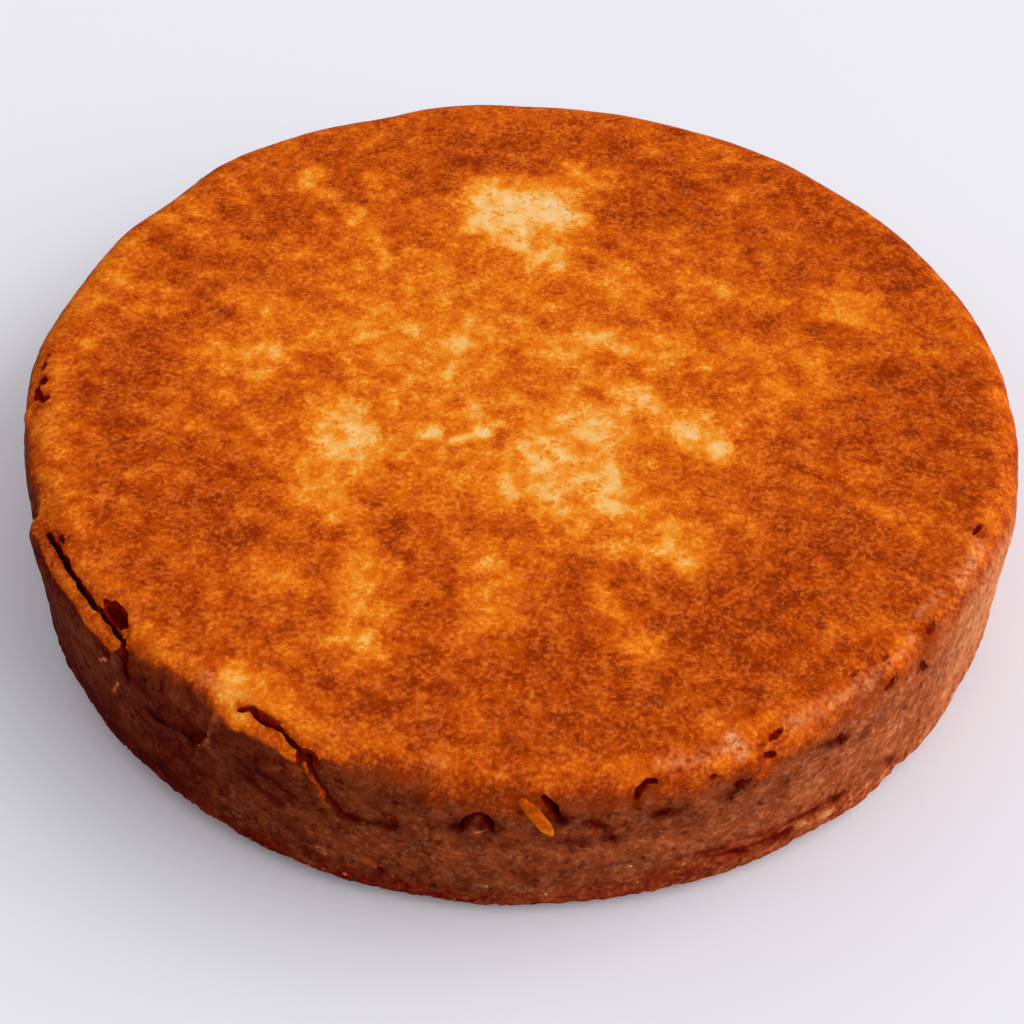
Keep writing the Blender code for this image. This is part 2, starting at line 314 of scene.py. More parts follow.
PITS = tuple(Blob(*row) for row in (
    (221.8, 39, 4.2, 1.7, 3), (208.4, 38.9, 1.9, 0.7, 1), (249.8, 37, 2.6, 1.5, 2.2, -14),
    (249, 36, 1, 1.1, 1.2, 10), (258.7, 25.6, 0.8, 1.5, 0.7, 10), (235.6, 27.9, 2.3, 1.5, 2.4, 10),
    (231, 26.5, 1.9, 0.9, 1.2), (257, 9.8, 0.9, 1.3, 1.1), (297.8, 37.8, 1.9, 0.8, 1, 18),
    (295.8, 36.9, 1.2, 0.5, 0.5, 20), (296.7, 35.1, 1.6, 0.9, 1.4, -18), (293.6, 30.2, 1.3, 1.9, 1.3, 25),
    (305.3, 30.6, 1.4, 2, 1, 20), (312.5, 36.1, 2.1, 0.7, 0.9, 12), (317.7, 34.2, 0.8, 1.9, 0.9, 25),
    (320.6, 38.2, 1.8, 0.7, 0.75, 8), (336.4, 39.5, 1.9, 0.6, 0.9, -12), (179, 38.6, 1.5, 1, 1.2),
    (183.3, 38.2, 2.3, 1.1, 1.7), (185, 39.2, 1.2, 1.4, 1.3), (181.6, 38.9, 1.6, 1.2, 1.5, 30),
    (184.2, 38.6, 1.5, 1.3, 1.5), (177.2, 38.9, 0.8, 0.7, 0.9), (313.3, 39, 0.9, 0.5, 0.5),
    (309, 39.3, 0.8, 0.5, 0.45), (290.4, 34.3, 1.1, 0.7, 0.7, 25), (271.1, 31.8, 0.7, 0.6, 0.6),
    (278.6, 26.4, 0.9, 1.6, 0.9, 28), (285.6, 28, 1.6, 0.7, 0.6), (280.2, 22, 0.9, 1, 0.5),
))

LUMPS = tuple(Blob(*row) for row in (
    (186.2, 36.6, 2, 1.2, 0.8, 8), (187.6, 38.2, 1, 1.4, 0.5), (234.2, 30.4, 2.6, 1.8, 0.6, 14),
    (230.6, 28.4, 1.6, 1.1, 0.4, 10), (266.9, 27.4, 0.9, 1.6, 0.8), (299.4, 35.4, 1.3, 1, 0.5),
    (294.6, 34.2, 1, 1.6, 0.4), (249.2, 6.8, 1.5, 1.2, 0.6), (297, 6.6, 2.2, 0.9, 0.5),
    (303.5, 8.4, 1.6, 0.8, 0.4),
))


@dataclass(frozen=True)
class CakeForm:
    """The cake's driving sizes, and the skin that is worked out from them."""

    noise_origin = np.array([3.1, 7.4, 1.9])

    radius: float = 101.3 * MM
    height: float = 39.6 * MM
    shoulder_round: float = 7.1 * MM
    base_round: float = 5.5 * MM
    side_lump: float = 0.35 * MM
    side_lump_length: float = 13.0 * MM
    top_wave: float = 0.25 * MM
    top_wave_length: float = 34.0 * MM
    low_share: float = 0.55
    peel_edge: float = 0.55
    peel_thickness: float = 2.4 * MM

    @property
    def flat_radius(self) -> float:
        """Radius of the flat part of the top."""
        return self.radius - self.shoulder_round

    @property
    def skirt(self) -> float:
        """Length of the outline from the edge of the flat top to the underside."""
        arcs = (self.shoulder_round + self.base_round) * math.pi / 2.0
        return arcs + self.height - self.shoulder_round - self.base_round

    def outline(self, along: np.ndarray) -> tuple[np.ndarray, np.ndarray, np.ndarray]:
        """Follow the cake's half outline from the middle of the top to the underside.

        Args:
            along: Distance along the outline, in metres.

        Returns:
            The inset from the upright side, the height, and the slope of the skin's
            outward direction in degrees, which is 90 on the top and 0 on the side.
        """
        past = along - self.flat_radius
        shoulder = np.clip(past / self.shoulder_round, 0.0, math.pi / 2.0)
        wall = self.height - self.shoulder_round - self.base_round
        down = past - self.shoulder_round * math.pi / 2.0
        base = np.clip((down - wall) / self.base_round, 0.0, math.pi / 2.0)
        inset = np.maximum(-past, 0.0) + self.shoulder_round * (1.0 - np.sin(shoulder))
        inset += self.base_round * (1.0 - np.cos(base))
        height = self.height - self.shoulder_round * (1.0 - np.cos(shoulder))
        height -= np.clip(down, 0.0, wall) + self.base_round * np.sin(base)
        return inset, height, 90.0 - np.degrees(shoulder + base)

    def inset_at(self, height: np.ndarray) -> np.ndarray:
        """How far in from the upright side the rounded outline is at a height.

        Args:
            height: Height above the underside.

        Returns:
            The inset in metres.
        """
        low = height < self.base_round
        radius = np.where(low, self.base_round, self.shoulder_round)
        over = np.maximum(height - (self.height - self.shoulder_round), 0.0)
        fall = np.where(low, self.base_round - height, over)
        return radius - np.sqrt(np.maximum(radius**2 - fall**2, 0.0))

    def normal(self, angle: np.ndarray, slope: np.ndarray) -> np.ndarray:
        """Outward direction of the smooth skin at an angle and a slope in degrees."""
        turn = np.radians(slope)[..., None]
        return unit_circle(angle) * np.cos(turn) + np.array([0.0, 0.0, 1.0]) * np.sin(turn)

    def slope_at(self, height: np.ndarray) -> np.ndarray:
        """Slope of the skin's outward direction at a height, in degrees.

        Args:
            height: Height above the underside.

        Returns:
            The slope, 90 on the top and 0 on the side.
        """
        up = np.maximum(height - (self.height - self.shoulder_round), 0.0) / self.shoulder_round
        down = np.maximum(self.base_round - height, 0.0) / self.base_round
        return np.degrees(np.arcsin(np.clip(up - down, -1.0, 1.0)))

    def lift(self, angle: np.ndarray, inset: np.ndarray, height: np.ndarray) -> np.ndarray:
        """How far the peeled sheets stand off the side, zero elsewhere.

        Args:
            angle: Angles in degrees.
            inset: Distance in from the upright side.
            height: Height above the underside.

        Returns:
            The distance in metres.
        """
        total = np.zeros_like(angle)
        for peel in PEELS:
            rise = smooth_step(height, peel.hinge, peel.lip)
            rise = rise * (1.0 - smooth_step(inset, self.peel_thickness / 2.0, self.peel_thickness))
            stop = peel.stop + peel.lean * (1.0 - rise)
            along = np.clip((angle - peel.start) / (stop - peel.start), 0.0, 1.0)
            lift = peel.lift_start + (peel.lift_stop - peel.lift_start) * along
            opened = smooth_step(angle, peel.start - self.peel_edge, peel.start)
            closed = smooth_step(angle - stop, 0.0, self.peel_edge)
            total = total + lift * rise * opened * (1.0 - closed)
        return total

    def stand_off(self, angle: np.ndarray, inset: np.ndarray, height: np.ndarray) -> np.ndarray:
        """How far the skin stands out from the smooth outline, in metres.

        Args:
            angle: Angles in degrees.
            inset: Distance in from the upright side.
            height: Height above the underside.

        Returns:
            One distance for each place.
        """
        swell = sum(
            one.outwards * np.exp(-0.5 * (turn_between(angle, one.angle) / one.half_width) ** 2)
            for one in SWELLS
        )
        rise = height / self.height
        offset = swell * MM * (self.low_share + (1.0 - self.low_share) * rise)
        offset = offset + self.lift(angle, inset, height)
        points = self.smooth_points(angle, inset, height)
        offset = offset + self.side_lump * grain(points, self.side_lump_length)
        return offset * (1.0 - inset / self.radius) ** 2

    def smooth_points(self, angle: np.ndarray, inset: np.ndarray, height: np.ndarray) -> np.ndarray:
        """Places on the smooth outline, before any unevenness.

        Args:
            angle: Angles in degrees.
            inset: Distance in from the upright side.
            height: Height above the underside.

        Returns:
            One place for each.
        """
        points = unit_circle(angle) * (self.radius - inset)[..., None]
        points[..., 2] = height
        return points

    def skin(self, angle: np.ndarray, inset: np.ndarray, height: np.ndarray) -> np.ndarray:
        """Places on the uneven skin.

        Args:
            angle: Angles in degrees.
            inset: Distance in from the upright side.
            height: Height above the underside.

        Returns:
            One place for each, with the swells, the sheets and the soft lumps.
        """
        points = self.smooth_points(angle, inset, height)
        wave = self.top_wave * grain(points, self.top_wave_length)
        wave *= smooth_step(inset, self.shoulder_round, 2.0 * self.shoulder_round)
        offset = self.stand_off(angle, inset, height)
        out = unit_circle(angle) * offset[..., None]
        out[..., 2] += wave
        return points + out

    def skin_at(self, angle: np.ndarray, height: np.ndarray) -> np.ndarray:
        """Places on the skin of the side and the shoulder, by angle and height."""
        return self.skin(angle, self.inset_at(height), height)

    def depth_of(self, points: np.ndarray) -> np.ndarray:
        """How far places lie beneath the skin, in metres, below zero outside.

        Args:
            points: Places in metres, one row for each.

        Returns:
            One depth for each place.
        """
        angle = angle_of(points)
        radius = np.hypot(points[:, 0], points[:, 1])
        height = np.clip(points[:, 2], 0.0, self.height)
        inset = np.clip(self.radius - radius, 0.0, self.radius)
        offset = self.stand_off(angle, self.inset_at(height), height)
        offset = np.where(inset > self.shoulder_round, 0.0, offset)
        rounding = np.where(points[:, 2] > self.height / 2.0, self.shoulder_round, self.base_round)
        out = radius - offset - (self.radius - rounding)
        middle = self.height / 2.0
        up = np.abs(points[:, 2] - middle) - (middle - rounding)
        outside = np.hypot(np.maximum(out, 0.0), np.maximum(up, 0.0))
        return rounding - outside - np.minimum(np.maximum(out, up), 0.0)


FORM = CakeForm()


# ---------------------------------------------------------------- how it is browned, with painted light and shade


@dataclass(frozen=True)
class Stroke:
    """A soft-edged patch between two places, and how strongly it changes the crust.

    On the top a place is (x, y) in mm.  On the side it is (angle, height in mm).
    """

    start: tuple[float, float]
    stop: tuple[float, float]
    half_width: float
    strength: float

    @classmethod
    def rows(cls, table: Rows) -> tuple["Stroke", ...]:
        """Strokes from rows of both places, the half width in mm and the strength."""
        return tuple(cls(row[:2], row[2:4], *row[4:]) for row in table)


# Where the top is paler or darker than its middling browning.
PALE_STROKES = Stroke.rows((
    (-8, 61, 6, 60, 6, 0.68), (-8, 53, 9, 53, 5, 0.58), (-1, 46, 8, 38, 4, 0.44),
    (-16, 52, -6, 47, 5, 0.2), (-5, 38, -3, 22, 8, 0.16), (12, 71, 20, 65, 5, 0.29),
    (-49, 69, -45, 60, 2.6, 0.37), (-34, 67, -31, 62, 3, 0.2), (-38, 57, -30, 37, 2, 0.29),
    (-65, 61, -47, 38, 1.6, 0.2), (-80, 50, -60, 40, 2.2, 0.2), (-33, 28, -10, 12, 13, 0.25),
    (-50, 8, -32, 14, 6, 0.14), (-28, -4, -15, -22, 7.5, 0.2), (-14, -31, 6, -33, 6.5, 0.2),
    (8, -34, 15, -45, 6.5, 0.24), (8, 6, 20, -5, 6, 0.18), (25, -20, 45, -36, 4.5, 0.14),
    (-88, 42, -66, 30, 1.8, 0.14), (-78, 56, -56, 44, 1.6, 0.14), (-70, 32, -48, 22, 1.8, 0.12),
    (-46, 66, -37, 48, 1.4, 0.14), (28, 47, 34, 46, 4.5, 0.16), (-10, -65, -6, -67, 5, 0.16),
    (78, 15, 84, 12, 4.5, 0.14), (-92, 26, -88, 24, 5, 0.16), (-22, 8, -6, 2, 7, 0.19),
    (-12, 12, -5, 6, 3, 0.18), (14, 14, 37, 7, 4, 0.29), (5, 10, 14, 12, 5, 0.23),
    (21, -2, 27, -6, 3, 0.26), (2, -12, 19, -12, 6.5, 0.4), (6, -22, 19, -28, 7.5, 0.5),
    (20, -34, 29, -42, 5, 0.24), (29, -45, 32, -49, 4.5, 0.28), (34, -12, 38, -15, 7, 0.52),
    (-39, -11, -33, -20, 6.5, 0.55), (-41, -25, -34, -37, 5.5, 0.32),
    (-19.5, -16, -15.5, -15.2, 1.4, 0.36), (-13, -17, -7, -15.2, 1.6, 0.44),
    (-10, -10, -6, -13, 2.6, 0.29), (-66, 9, -52, 4, 5.5, 0.35), (-60, 24, -52, 20, 4, 0.22),
    (-90, 34, -74, 24, 5, 0.2), (66, 31, 74, 24, 6, 0.29), (40, 33, 52, 28, 5, 0.2),
    (18, 34, 24, 28, 4, 0.23), (45, 12, 62, 6, 5, 0.14), (-30, -50, -26, -73, 4.5, 0.4),
    (-47, -52, -42, -57, 4.5, 0.29), (-7, -47, -1, -63, 4.5, 0.23), (16, -58, 23, -70, 4, 0.35),
    (54, -24, 70, -34, 1.4, 0.18), (60, -19, 78, -28, 1.6, 0.14), (-53, -76, -46, -85, 3.4, 0.28),
    (-17, -83, -6, -87, 4, 0.18), (10, -45, 30, -50, 4, 0.2), (28, 14, 29, 14, 5, 0.18),
    (55, -2, 57, -2, 5, 0.18), (65, -52, 68, -56, 4, 0.14), (-12, -6, -11, -6, 4, 0.18),
    (-92, -16, -91, -20, 4.5, 0.18), (-86, -36, -82, -42, 4.5, 0.16), (44, 65, 54, 65, 4, 0.2),
    (44, 80, 46, 79, 4.5, 0.2), (6, 45, 9, 47, 4, 0.16), (2, 68, 2, 63, 4, 0.2),
    (-18, 44, -17, 32, 3.5, 0.12), (34, 32, 42, 32, 3.5, 0.14), (62, 22, 67, 22, 3.5, 0.2),
    (20, 29, 24, 25, 3.5, 0.12), (-34, 15, -29, 12, 3.5, 0.12), (-14, 20, -15, 10, 3, 0.12),
    (22, 1, 26, 3, 3.5, 0.16), (6, -5, 18, -20, 3.5, 0.12), (-13, -12, -28, -28, 3.5, 0.11),
    (-4, -27, 14, -34, 3.5, 0.13), (30, -34, 38, -45, 3.5, 0.16), (-2, -48, 3, -48, 3.5, 0.18),
    (-20, -70, -6, -67, 3, 0.12), (-72, -63, -60, -75, 3, 0.12), (-48, -80, -40, -87, 3.5, 0.16),
    (80, 13, 83, 11, 3, 0.14), (46, 14, 48, 6, 3, 0.12), (-95, 20, -95, 12, 3, 0.12),
    (-35, -11, -28, -10, 3, 0.15), (-67, -12, -64, -14, 3.5, 0.12), (-26, -48, -24, -53, 3, 0.13),
    (0, 69, 1, 65, 3.5, 0.1), (31, 50, 32, 46, 3.5, 0.09), (6, 38, 2, 28, 4, 0.1),
    (-17, 42, -16, 38, 3, 0.09), (58, 42, 67, 34, 3.5, 0.11), (62, 21, 66, 21, 3, 0.12),
    (26, 18, 30, 12, 4, 0.07), (41, -32, 49, -36, 3.5, 0.1), (34, -38, 38, -45, 3, 0.09),
    (72, -41, 78, -41, 3, 0.13), (69, -26, 69, -30, 3, 0.12), (-50, -76, -42, -79, 3, 0.13),
    (-26, 88, -24, 90, 5, 0.2), (-37, 79, -35, 82, 4, 0.18), (20, 92, 28, 90, 6, 0.2),
    (-6, 93, -2, 92, 5, 0.14), (-96, 2, -96, -5, 3, 0.16), (-58, 8, -55, 6, 3, 0.08),
    (-72, 20, -70, 21, 3, 0.1), (-12, 10, -14, 2, 4, 0.06), (48, 6, 56, -3, 4, 0.07),
))
DARK_STROKES = Stroke.rows((
    (-12, 73, 0, 71, 5.5, -0.26), (22, 76, 38, 66, 6, -0.14), (82, 48, 60, 32, 7, -0.18),
    (92, 0, 72, 4, 7, -0.16), (64, -16, 88, -28, 7, -0.18), (-76, 4, -68, 20, 7, -0.2),
    (-82, 33, -66, 26, 3.5, -0.12), (-62, 56, -60, 50, 5, -0.14), (-84, -9, -78, -24, 6, -0.18),
    (-56, -28, -38, -26, 6, -0.1), (-78, -45, -55, -72, 6, -0.14), (50, -50, 40, -72, 8, -0.16),
    (30, -62, 60, -78, 7, -0.2), (-18, -76, -14, -87, 6, -0.26), (-4, -84, 20, -88, 7, -0.2),
    (32, -80, 40, -78, 6, -0.16), (-30, 86, 30, 88, 9, -0.15), (40, 78, 66, 56, 9, -0.12),
    (-32, 74, -18, 62, 5, -0.12), (-80, 42, -58, 32, 4, -0.15), (80, 30, 92, -18, 8, -0.12),
    (45, -42, 78, -56, 11, -0.18), (-78, -34, -52, -47, 8, -0.12), (-24, -42, -12, -52, 4.5, -0.18),
    (0, -42, 19, -52, 5, -0.18), (-12, -66, 17, -76, 5, -0.12), (24, 62, 33, 47, 6, -0.18),
    (34, -24, 50, -34, 4, -0.12), (50, -20, 66, -30, 1, -0.24), (58, -28, 74, -42, 1.2, -0.15),
    (-25, -45, -12, -58, 1.2, -0.18), (14, -2, 19, -4, 1.6, -0.24), (43, -13, 44, -19, 0.8, -0.3),
    (-14.2, -14.8, -14, -17.6, 0.5, -0.45), (74, -1, 75, -1.4, 1, -0.5),
    (67, -21, 67.5, -21.5, 0.8, -0.4), (62, -45, 62.5, -45, 0.9, -0.4), (67, -46, 67.5, -46, 0.8, -0.4),
    (53, -67, 53.5, -67, 0.9, -0.4), (40, -75, 40.5, -75, 0.8, -0.35), (76, -64, 76.5, -64, 0.8, -0.4),
    (-30, -35, -29.5, -35, 0.7, -0.35), (-32, -83, -27, -86, 5.5, -0.22), (-42, -60, -42, -66, 4, -0.18),
    (-33, -49, -33, -52, 4, -0.2), (-8, 6, -2, 7, 4.5, -0.18), (-87, -9, -82, -10, 4, -0.14),
    (-43, -8, -37, -6, 4, -0.14), (12, -55, 20, -59, 4, -0.16), (2, -95, 8, -95, 5, -0.16),
    (-45, 28, -39, 23, 4, -0.12), (-48, 54, -30, 62, 6, -0.09), (2, -72, 10, -80, 6, -0.1),
    (-63, 18, -60, 17, 4, -0.1), (-64, 52, -50, 46, 4.5, -0.14), (-38, 47, -37, 43, 3, -0.16),
    (-84, 36, -74, 30, 4, -0.14), (-76, 6, -68, 3, 4, -0.16), (-84, 15, -78, 14, 4, -0.12),
    (-80, -18, -79, -32, 3.5, -0.12), (-64, -24, -56, -27, 4, -0.12), (-58, -42, -53, -44, 4, -0.18),
    (-20, 62, -14, 52, 3.5, -0.13), (14, 57, 26, 54, 4, -0.12), (50, 54, 48, 40, 4, -0.13),
    (54, 74, 60, 72, 4, -0.14), (40, 64, 40, 58, 3, -0.12), (80, 38, 90, 34, 5, -0.14),
    (76, 2, 80, -16, 4.5, -0.17), (88, 2, 90, -3, 4, -0.15), (66, -17, 67, -20, 3, -0.14),
    (52, -52, 60, -58, 3.5, -0.15), (64, -38, 78, -52, 4, -0.11), (22, -67, 28, -65, 3.5, -0.14),
    (22, -84, 28, -81, 4.5, -0.14), (0, -10, 2, -15, 3, -0.13), (-16, -33, -13, -34, 3, -0.12),
    (-65, -54, -62, -56, 3, -0.13), (5, -62, 8, -76, 4, -0.08), (-27, -80, -25, -84, 4, -0.12),
    (27, -24, 33, -27, 3.5, -0.15), (-43, -63, -43, -69, 3, -0.14), (-22, -62, -16, -54, 3, -0.11),
    (12, -87, 20, -86, 4.5, -0.12), (-12, -93, 0, -94, 4, -0.1), (74, 25, 86, 24, 4.5, -0.09),
    (72, 0, 90, -2, 3.5, -0.12), (-49, 76, -42, 74, 4, -0.12), (-64, 48, -62, 44, 3.5, -0.1),
    (-62, -40, -54, -48, 5, -0.09), (-74, 6, -70, 4, 4, -0.12), (-63, -4, -57, -5, 3, -0.1),
    (-28, 28, -20, 24, 3.5, -0.09), (20, 52, 19, 44, 4, -0.09), (44, 55, 48, 51, 4, -0.1),
    (-14, 52, -8, 51, 3, -0.08), (30, -58, 42, -66, 4.5, -0.08), (-26, -72, -27, -78, 3, -0.1),
    (76, 48, 78, 44, 4, -0.08), (52, -50, 56, -58, 3.5, -0.09), (-84, -8, -80, -9, 3, -0.08),
    (-62.9, -66.1, -63.2, -66, 0.9, -0.5), (-58.9, -70.6, -59.2, -70.4, 0.9, -0.5),
    (-56.4, -73.6, -56.7, -73.4, 0.8, -0.5), (-64.4, -63.5, -64.7, -63.4, 0.8, -0.45),
    (-52.9, -77.5, -53.2, -77.4, 0.8, -0.5), (-61, -73.1, -61.2, -73, 0.7, -0.45),
    (-50, -73, -50.2, -73.1, 0.8, -0.45), (-66, -57, -66.2, -57.1, 0.7, -0.45),
))

# Where golden crust gives way to brown, by angle, in mm above the underside.
BROWN_BELOW = (
    (0, 34.5), (40, 36), (90, 35.5), (140, 36.5), (185, 35.5), (200, 37.4), (202.4, 36.6), (203.4, 34.6),
    (206, 35.8), (208, 36.3), (214, 36.2), (219, 35.8), (224.3, 35), (225.2, 37.4), (231, 37.8),
    (237, 37.8), (239, 37.4), (241, 37.1), (243, 36.8), (245, 36.7), (246.5, 36.6), (248, 36.1),
    (249, 35.3), (250, 35.6), (251, 36.8), (257, 36.8), (262, 35.4), (266, 33.4), (271, 32.6), (277, 33),
    (283, 32.6), (288, 32.2), (293, 31.6), (298, 32.4), (304, 34.8), (312, 35.6), (322, 36.2), (334, 36),
    (346, 35), (360, 34.5),
)

# How softly it does, by angle, in mm.
BROWN_SOFTNESS = (
    (0, 2.5), (195, 2), (203, 0.5), (224.8, 0.5), (226, 1.2), (238, 1.2), (239, 0.4), (252.6, 0.4),
    (254, 2.2), (258, 3), (264, 4.5), (272, 6), (290, 5.5), (300, 3.5), (335, 2.4), (360, 2.5),
)

# Where the redder, craggier foot of the side ends, by angle, in mm above the underside.
FOOT_BELOW = (
    (0, 7), (195, 7), (235, 8), (262, 7.5), (280, 8.5), (289, 11.5), (294, 13.5), (307, 13.5), (316, 9.5),
    (330, 7), (360, 7),
)

# How pale the brown side is, by angle, from maroon at 0 to beige at 1: partly the crust's own colour,
# partly painted shade on the left and painted light and sheen on the right.
SIDE_TONE_AND_LIGHT = (
    (0, 0.66), (60, 0.56), (130, 0.5), (175, 0.44), (195, 0.26), (205, 0.18), (228, 0.19), (240, 0.22),
    (255, 0.28), (275, 0.34), (290, 0.39), (300, 0.475), (312, 0.54), (320, 0.55), (330, 0.63),
    (342, 0.73), (360, 0.64),
)

# What changes on the side and the shoulder, by what the strokes change.
SIDE_STROKES = {
    Paint.GOLD: Stroke.rows((
        (249.4, 35.4, 252.6, 22.6, 0.45, 13), (297, 33.5, 295.4, 31, 1.2, 4),
        (262.5, 31, 271, 30.5, 2.2, 2.4),
    )),
    Paint.BAKE: Stroke.rows((
        (256, 37, 272, 36.6, 1.8, 0.12), (275, 34.6, 284, 34.2, 2, 0.09),
        (226, 38.5, 239, 38.5, 0.6, 0.1), (240.6, 39, 245.6, 38.9, 0.8, 0.24),
        (299.5, 34.2, 304, 34.8, 1.4, -0.14), (295.4, 32.6, 299, 33, 1.3, 0.2),
        (278.4, 34.4, 280, 33.6, 1.2, 0.2),
    )),
    Paint.TONE: Stroke.rows((
        (278.4, 34.4, 280, 33.6, 1.2, -0.16), (276.5, 31, 282, 30.6, 1.4, 0.06),
        (252.5, 31, 262, 30, 3, 0.05), (239, 37, 238.6, 31, 0.6, 0.26), (238.6, 31, 236.3, 26, 0.6, 0.26),
        (237.6, 31, 235.4, 25, 0.9, -0.24), (229.4, 26.6, 232.6, 26.2, 1.2, -0.22),
        (250.4, 31, 252.8, 21.8, 0.5, 0.16), (223.6, 33.2, 221.8, 29.4, 0.35, 0.55),
        (224.6, 27.4, 223, 21.8, 0.35, 0.5), (241, 31, 248, 29, 5, -0.05), (227.5, 33, 236, 28, 2, -0.12),
        (254, 32, 261, 31, 3, -0.05), (262, 34, 270, 34.2, 1.4, -0.09),
        (264.8, 26.5, 268.6, 27.6, 1.3, -0.22), (266.4, 26.6, 266.8, 25.6, 0.8, 0.4),
        (282.6, 35.5, 282.4, 31, 1.2, -0.2), (273, 34, 275.2, 29, 1.6, -0.2),
        (228.5, 21, 236, 18, 2.2, -0.1), (243, 24, 246, 21, 1.6, -0.14),
        (246.2, 29, 247.5, 26, 1.3, -0.14), (254, 24, 259, 24, 0.6, -0.1),
        (275.6, 23, 277.4, 21.6, 1.4, -0.26), (278, 28, 279.8, 25.4, 1.1, -0.3),
        (280, 23.4, 280.8, 21.4, 0.9, -0.24), (284.6, 28.2, 287.5, 27, 1.2, -0.26),
        (292.2, 28, 294.4, 31.5, 1.5, -0.22), (303.6, 32.2, 306, 29.4, 1.3, -0.24),
        (316.8, 35.4, 318.6, 32.6, 0.8, -0.14), (289.4, 12.4, 292.6, 12, 0.8, -0.26),
        (293.8, 9.6, 295.4, 8.2, 1, -0.36), (297.8, 8.9, 300.2, 8.2, 1, -0.28),
        (300.4, 11.8, 304.6, 11.2, 0.8, -0.3), (306, 12.8, 307.4, 10.2, 1, -0.23),
        (314.6, 12.4, 316.2, 8.8, 1, -0.36), (302, 8.8, 306, 7.6, 1.2, 0.25),
        (240, 4.5, 262, 4.5, 4, -0.1), (203, 7, 232, 8, 6.5, -0.16), (250, 18, 298, 18.5, 3.4, 0.07),
        (255.4, 12.2, 256.3, 10.6, 0.8, 0.24), (250.2, 12, 250.9, 11, 0.8, 0.34),
    )),
    # Pale crumbs near the base, and painted sheen where the light catches the shoulder and the right side.
    Paint.BLOOM: Stroke.rows((
        (281.9, 14.6, 282.8, 11.4, 0.7, 0.34), (271, 9.4, 272.4, 8.2, 0.7, 0.4),
        (273.8, 7.8, 274.2, 6.6, 0.6, 0.42), (266.6, 8.9, 268.2, 8.6, 0.6, 0.34),
        (248.6, 6.6, 249.8, 5.4, 0.6, 0.28), (295.8, 15.6, 296.4, 14.2, 0.8, 0.3),
        (285, 38.2, 292, 38.3, 0.93, 0.45), (293, 39, 293.8, 37.2, 1.2, 1.4),
        (300, 38.3, 310, 38, 1.5, 0.42), (310, 38.6, 318, 38.8, 0.74, 0.4),
        (321, 39.5, 325, 39.4, 0.87, 0.4), (328.5, 38.9, 334.5, 38.9, 1.24, 0.6),
        (261.5, 39.3, 263.5, 39, 0.62, 0.3), (235, 39.4, 241, 39.5, 0.99, 0.28),
        (330, 26, 350, 19, 10, 0.55),
    )),
}


